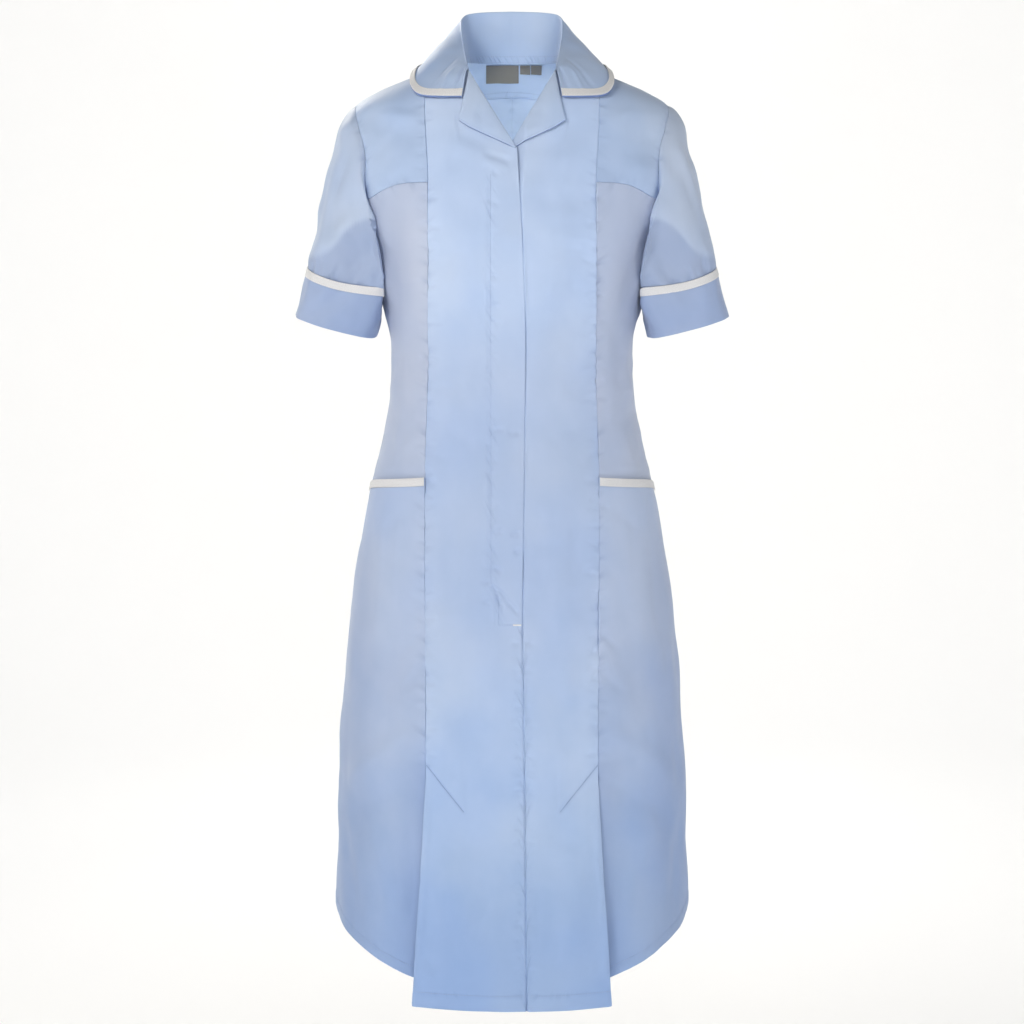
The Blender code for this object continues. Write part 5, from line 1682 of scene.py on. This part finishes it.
def collar():
    columns = np.linspace(-1, 1, 261)[None, :]
    columns = np.where(columns == 0, 1e-9, columns)
    rows = np.concatenate([np.linspace(0, 0.25, 12)[:-1], np.linspace(0.25, 0.45, 9)[:-1],
                           0.45 + 0.55 * spaced(0.060, 0.0022, (False, True))])[:, None]
    rows, columns = rows + np.zeros_like(columns), columns + np.zeros_like(rows)
    face = collar_at(rows, columns)
    along = np.gradient(face, axis=1)
    down = np.gradient(face, axis=0)
    out = np.cross(down, along)
    out = out / np.linalg.norm(out, axis=-1, keepdims=True)
    if out[0, 130, 1] > 0:
        out = -out
    fall = np.clip((rows - 0.45) / 0.55, 0, 1)
    way = (1 - np.abs(columns))
    dent = creased(way * 0.5, fall * 0.05, [(0.030, 0.006, 0.018, 0.040, 0.010, -0.0020),
                                            (0.085, 0.020, 0.070, 0.046, 0.008, 0.0012),
                                            (0.120, 0.010, 0.110, 0.044, 0.009, -0.0010)])
    soft = ease(fall / 0.2) * (1 - 0.7 * ease((fall - 0.75) / 0.2))
    relief = (dent + 0.0006 * swell(face[..., 0] * 1.3, face[..., 1] + face[..., 2], 0.06, 401)) * soft
    inner = ease((0.22 - rows) / 0.1)
    relief = relief + 0.0004 * swell(face[..., 0], face[..., 2], 0.05, 402) * inner * ease(rows / 0.05)
    face = face + out * relief[..., None]
    flat_face = rolled(face, out, ("bottom",), FOLD_ROLL)
    # Painted shadow: a dark line along the leaf's outer edge, by the tape
    dark = ease((0.0012 - from_edge(flat_face, "bottom")) / 0.0006)
    band = 0.9 * ease((0.0085 - from_edge(flat_face, "top")) / 0.0015)
    sewn("collar", "", flat_face, out, level=band, shade=dark)
    points, ways = strip_of(face, out, TAPE_WIDTH, "bottom", start=0.0006)
    lying = tape_form(points, ways, REST + WALL * 0.75)
    sewn("collar_tape", "", lying, ways, WHITE, thickness=TAPE)
    return face, out, lying, ways


# Sewing


def stitches(name, lines, material, lift=0.00012, size=STITCH):
    """Rows of thread: each stitch is a small spindle, lengthways along its line.

    A line is points and the directions out of the cloth there. The spindle's rings are
    circles of radius r times sqrt(1 - u squared), u running -1 to 1 along it.
    """
    length, pitch, radius = size
    u = np.array([-1.0, -0.55, 0.55, 1.0])
    corner = np.linspace(0, 2 * math.pi, 5)[:-1]
    swell_by = np.sqrt(1 - u ** 2) + 0.15
    profile = np.stack(np.broadcast_arrays(u[:, None] * length / 2, (swell_by[:, None] * np.cos(corner)) * radius * 1.4,
                                           (swell_by[:, None] * np.sin(corner)) * radius), axis=-1)
    made, faces = [], []
    index = np.arange(16).reshape(4, 4)
    nxt = np.roll(index, -1, axis=1)
    quads = np.stack([index[:-1], nxt[:-1], nxt[1:], index[1:]], axis=-1).reshape(-1, 4)
    start = 0
    for points, ways in lines:
        gone = run(points[None], 1)[0]
        places = np.arange(pitch / 2, gone[-1], pitch)
        if len(places) == 0:
            continue
        here = np.stack([np.interp(places, gone, points[:, k]) for k in range(3)], axis=-1)
        ahead = np.stack([np.interp(places + 0.0003, gone, points[:, k]) for k in range(3)], axis=-1)
        behind = np.stack([np.interp(places - 0.0003, gone, points[:, k]) for k in range(3)], axis=-1)
        way = np.stack([np.interp(places, gone, ways[:, k]) for k in range(3)], axis=-1)
        t = ahead - behind
        t = t / np.linalg.norm(t, axis=-1, keepdims=True)
        b = np.cross(t, way)
        b = b / np.linalg.norm(b, axis=-1, keepdims=True)
        n = np.cross(b, t)
        spots = here + way * lift
        shape = (spots[:, None, None] + profile[None, ..., :1] * t[:, None, None]
                 + profile[None, ..., 1:2] * b[:, None, None] + profile[None, ..., 2:] * n[:, None, None])
        made.append(shape.reshape(-1, 3))
        offset = start + np.arange(len(places))[:, None, None] * 16
        faces.append((quads[None] + offset).reshape(-1, 4))
        start += len(places) * 16
    points = np.concatenate(made)
    quads_all = np.concatenate(faces)
    caps = np.arange(len(points) // 16)[:, None] * 16
    ends = np.concatenate([caps + index[0][None, ::-1], caps + index[-1][None]])
    mesh = bpy.data.meshes.new(name)
    mesh.from_pydata(points.tolist(), [], quads_all[:, ::-1].tolist() + ends[:, ::-1].tolist())
    mesh.shade_smooth()
    mesh.materials.append(material)
    piece = bpy.data.objects.new(name, mesh)
    bpy.context.scene.collection.objects.link(piece)
    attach(piece, "root")
    return piece


def line_beside(face, out, edge, distance, lift=0.0):
    """A line on the cloth at a distance from an edge, by interpolation over the grid."""
    gone = from_edge(face, edge)
    if edge in ("left", "right"):
        gone, face, out = gone.T, np.swapaxes(face, 0, 1), np.swapaxes(out, 0, 1)
    if edge in ("bottom", "right"):
        gone, face, out = gone[::-1], face[::-1], out[::-1]
    columns = range(face.shape[1])
    points = np.array([[np.interp(distance, gone[:, c], face[:, c, k]) for k in range(3)] for c in columns])
    ways = np.array([[np.interp(distance, gone[:, c], out[:, c, k]) for k in range(3)] for c in columns])
    ways = ways / np.linalg.norm(ways, axis=-1, keepdims=True)
    return points + ways * lift, ways


def on_front(across_line, height_line, across, height, face, out):
    """A line on a front by its distance from the middle and height, from the front's own grid."""
    rows = np.arange(len(height))
    spots, ways = [], []
    for a, h in zip(across_line, height_line):
        row = np.interp(-h, -height[:, height.shape[1] // 3], rows)
        low = int(np.clip(math.floor(row), 0, len(rows) - 2))
        share = row - low
        here = [np.array([np.interp(a, across[r], table[r, :, k]) for k in range(3)])
                for r in (low, low + 1) for table in (face, out)]
        spots.append(mix(here[0], here[2], share))
        ways.append(mix(here[1], here[3], share))
    ways = np.array(ways)
    return np.array(spots), ways / np.linalg.norm(ways, axis=-1, keepdims=True)


def sew(parts):
    """All the stitching that shows."""
    across, height, face, out = parts["front_right"]
    straight = np.linspace(FLY_STITCH_TOP, FLY_STITCH_TURN[0], 160)
    slant = np.linspace(0, 1, 12)[1:]
    line_a = np.concatenate([np.full(160, FLY_STITCH), mix(FLY_STITCH, FLY_BOX, ease(slant)), np.full(10, FLY_BOX)])
    line_h = np.concatenate([straight, mix(*FLY_STITCH_TURN, slant),
                             np.linspace(FLY_STITCH_TURN[1], FLY_END, 11)[1:]])
    fly = on_front(line_a, line_h, across, height, face, out)
    box = on_front(np.linspace(FLY_BOX, -0.0105, 20), np.full(20, FLY_END), across, height, face, out)
    lines = [fly, box]
    slants = []
    below = np.linspace(FLY_END - 0.002, FRONT_HEM + 0.004, 160)
    lines.append(on_front(-fly_edge(below) + 0.0012, below, across, height, face, out))
    for word in ("right", "left"):
        across, height, face, out = parts["front_" + word]
        reach = np.linspace(-0.016 if word == "right" else 0.020, 0.1065, 60)
        lines.append(on_front(reach, np.full(60, FRONT_HEM + HEM_DEPTH), across, height, face, out))
        diagonal = np.linspace(0, 1, 30)
        slants.append(on_front(mix(PLEAT_SLANT, PLEAT_FOLD, diagonal), mix(PLEAT_TOP, PLEAT_FOLD_TOP, diagonal),
                               across, height, face, out))
        face, out = parts["skirt_side_" + word]
        lines.append(line_beside(face, out, "bottom", SIDE_HEM_DEPTH))
        face, out = parts["back_" + word]
        lines.append(line_beside(face, out, "bottom", SIDE_HEM_DEPTH))
        face, out = parts["lapel_" + word]
        lines.append(line_beside(face, out, "bottom", 0.0030))
    face, out = parts["back_yoke"]
    inside = [line_beside(face, out, "bottom", d) for d in (0.0022, 0.0075)]
    lines += inside
    lines += [(points - ways * (CLOTH + 0.0002), -ways) for points, ways in inside]
    stitches("stitching_body", lines, BLUE_THREAD)
    # The pleats' slanting stitches, darker as painted shade along their ridge
    stitches("stitching_pleats", slants, SHADED_THREAD, size=(0.0022, 0.0018, 0.00024))

    face, out, tape, tape_out = parts["collar"]
    lines = [line_beside(face, out, "top", d) for d in (0.0016, 0.0080)]
    stitches("stitching_collar", lines, BLUE_THREAD)
    lines = [line_beside(tape, tape_out, edge, 0.0012) for edge in ("top", "bottom")]
    for word in ("right", "left"):
        for table, way in (parts["cuff_tape_" + word], parts["pocket_tape_" + word]):
            lines += [line_beside(table, way, edge, 0.0012) for edge in ("top", "bottom")]
    stitches("stitching_tape", lines, WHITE_THREAD, lift=0.00004, size=(0.0018, 0.0026, 0.00014))


def bartack(parts):
    """The white bar that closes the fly's end: threads laid side by side over a short line."""
    across, height, face, out = parts["front_right"]
    lines = []
    for row in range(4):
        place = FLY_END + 0.0004 - 0.00038 * row
        bar = np.linspace(-0.0013, -0.0100, 16)
        lines.append(on_front(bar, np.full(16, place), across, height, face, out))
    stitches("bartack", lines, WHITE_THREAD, lift=0.00020, size=(0.0021, 0.0012, 0.00020))


# Studio


def studio():
    """A pale floor that sweeps up all round, soft lights, and the camera of the photograph."""
    bend = np.radians(np.linspace(0, 90, 19)[1:])
    radius = np.concatenate([np.linspace(0, 4.5, 6), 4.5 + 3.0 * np.sin(bend)])
    rise = np.concatenate([np.zeros(6), 3.6 * (1 - np.cos(bend))])
    turn = np.linspace(0, 2 * math.pi, 65)[None, :]
    points = join(radius[:, None] * np.cos(turn), radius[:, None] * np.sin(turn), FLOOR + rise[:, None])
    count = points.shape[1]
    index = np.arange(points.shape[0] * count).reshape(-1, count)
    faces = np.stack([index[:-1, :-1], index[1:, :-1], index[1:, 1:], index[:-1, 1:]], axis=-1).reshape(-1, 4)
    mesh = bpy.data.meshes.new("floor")
    mesh.from_pydata(points.reshape(-1, 3).tolist(), [], faces.tolist())
    mesh.shade_smooth()
    floor = bpy.data.objects.new("floor", mesh)
    pale = Finish("pale_floor", Base_Color=(0.93, 0.93, 0.93, 1.0), Roughness=0.9)
    mesh.materials.append(pale.material)
    bpy.context.scene.collection.objects.link(floor)

    world = bpy.data.worlds.new("studio")
    bpy.context.scene.world = world
    world.use_nodes = True
    background = world.node_tree.nodes["Background"]
    background.inputs["Color"].default_value = (*SKY, 1.0)
    background.inputs["Strength"].default_value = SKY_STRENGTH

    for name, place, at, size, power, colour in LAMPS:
        light = bpy.data.lights.new(name, "AREA")
        light.shape = "DISK"
        light.size = size
        light.energy = power
        light.color = colour
        lamp = bpy.data.objects.new(name, light)
        lamp.location = place
        lamp.rotation_euler = (Vector(at) - Vector(place)).to_track_quat("-Z", "Y").to_euler()
        lamp.visible_camera = False
        bpy.context.scene.collection.objects.link(lamp)

    camera = bpy.data.objects.new("camera", bpy.data.cameras.new("camera"))
    camera.data.lens = LENS
    camera.data.sensor_width = 36.0
    camera.data.clip_end = 50.0
    camera.location = CAMERA_PLACE
    camera.rotation_euler = (math.radians(90 - CAMERA_DOWN), 0, 0)
    bpy.context.scene.collection.objects.link(camera)
    bpy.context.scene.camera = camera
    bpy.context.scene.view_settings.view_transform = "Standard"


def main():
    studio()
    parts = {}
    for side, word in ((-1, "right"), (1, "left")):
        parts["front_" + word] = front(side, word)
        yoke_front(side, word)
        side_front(side, word)
        parts["skirt_side_" + word] = skirt_side(side, word)
        parts["pocket_tape_" + word] = pocket_tape(side, word)
        pleat(side, word)
        parts["lapel_" + word] = lapel(side, word)
        parts["back_" + word] = back(side, word)
        cuff_face, cuff_out, tape_face, tape_out = arm_pieces(side, word)
        parts["cuff_tape_" + word] = (tape_face, tape_out)
    parts["back_yoke"] = back_yoke()
    parts["collar"] = collar()
    for name, left, right, bottom in LABELS:
        label(name, left, right, bottom)
    sew(parts)
    bartack(parts)


main()
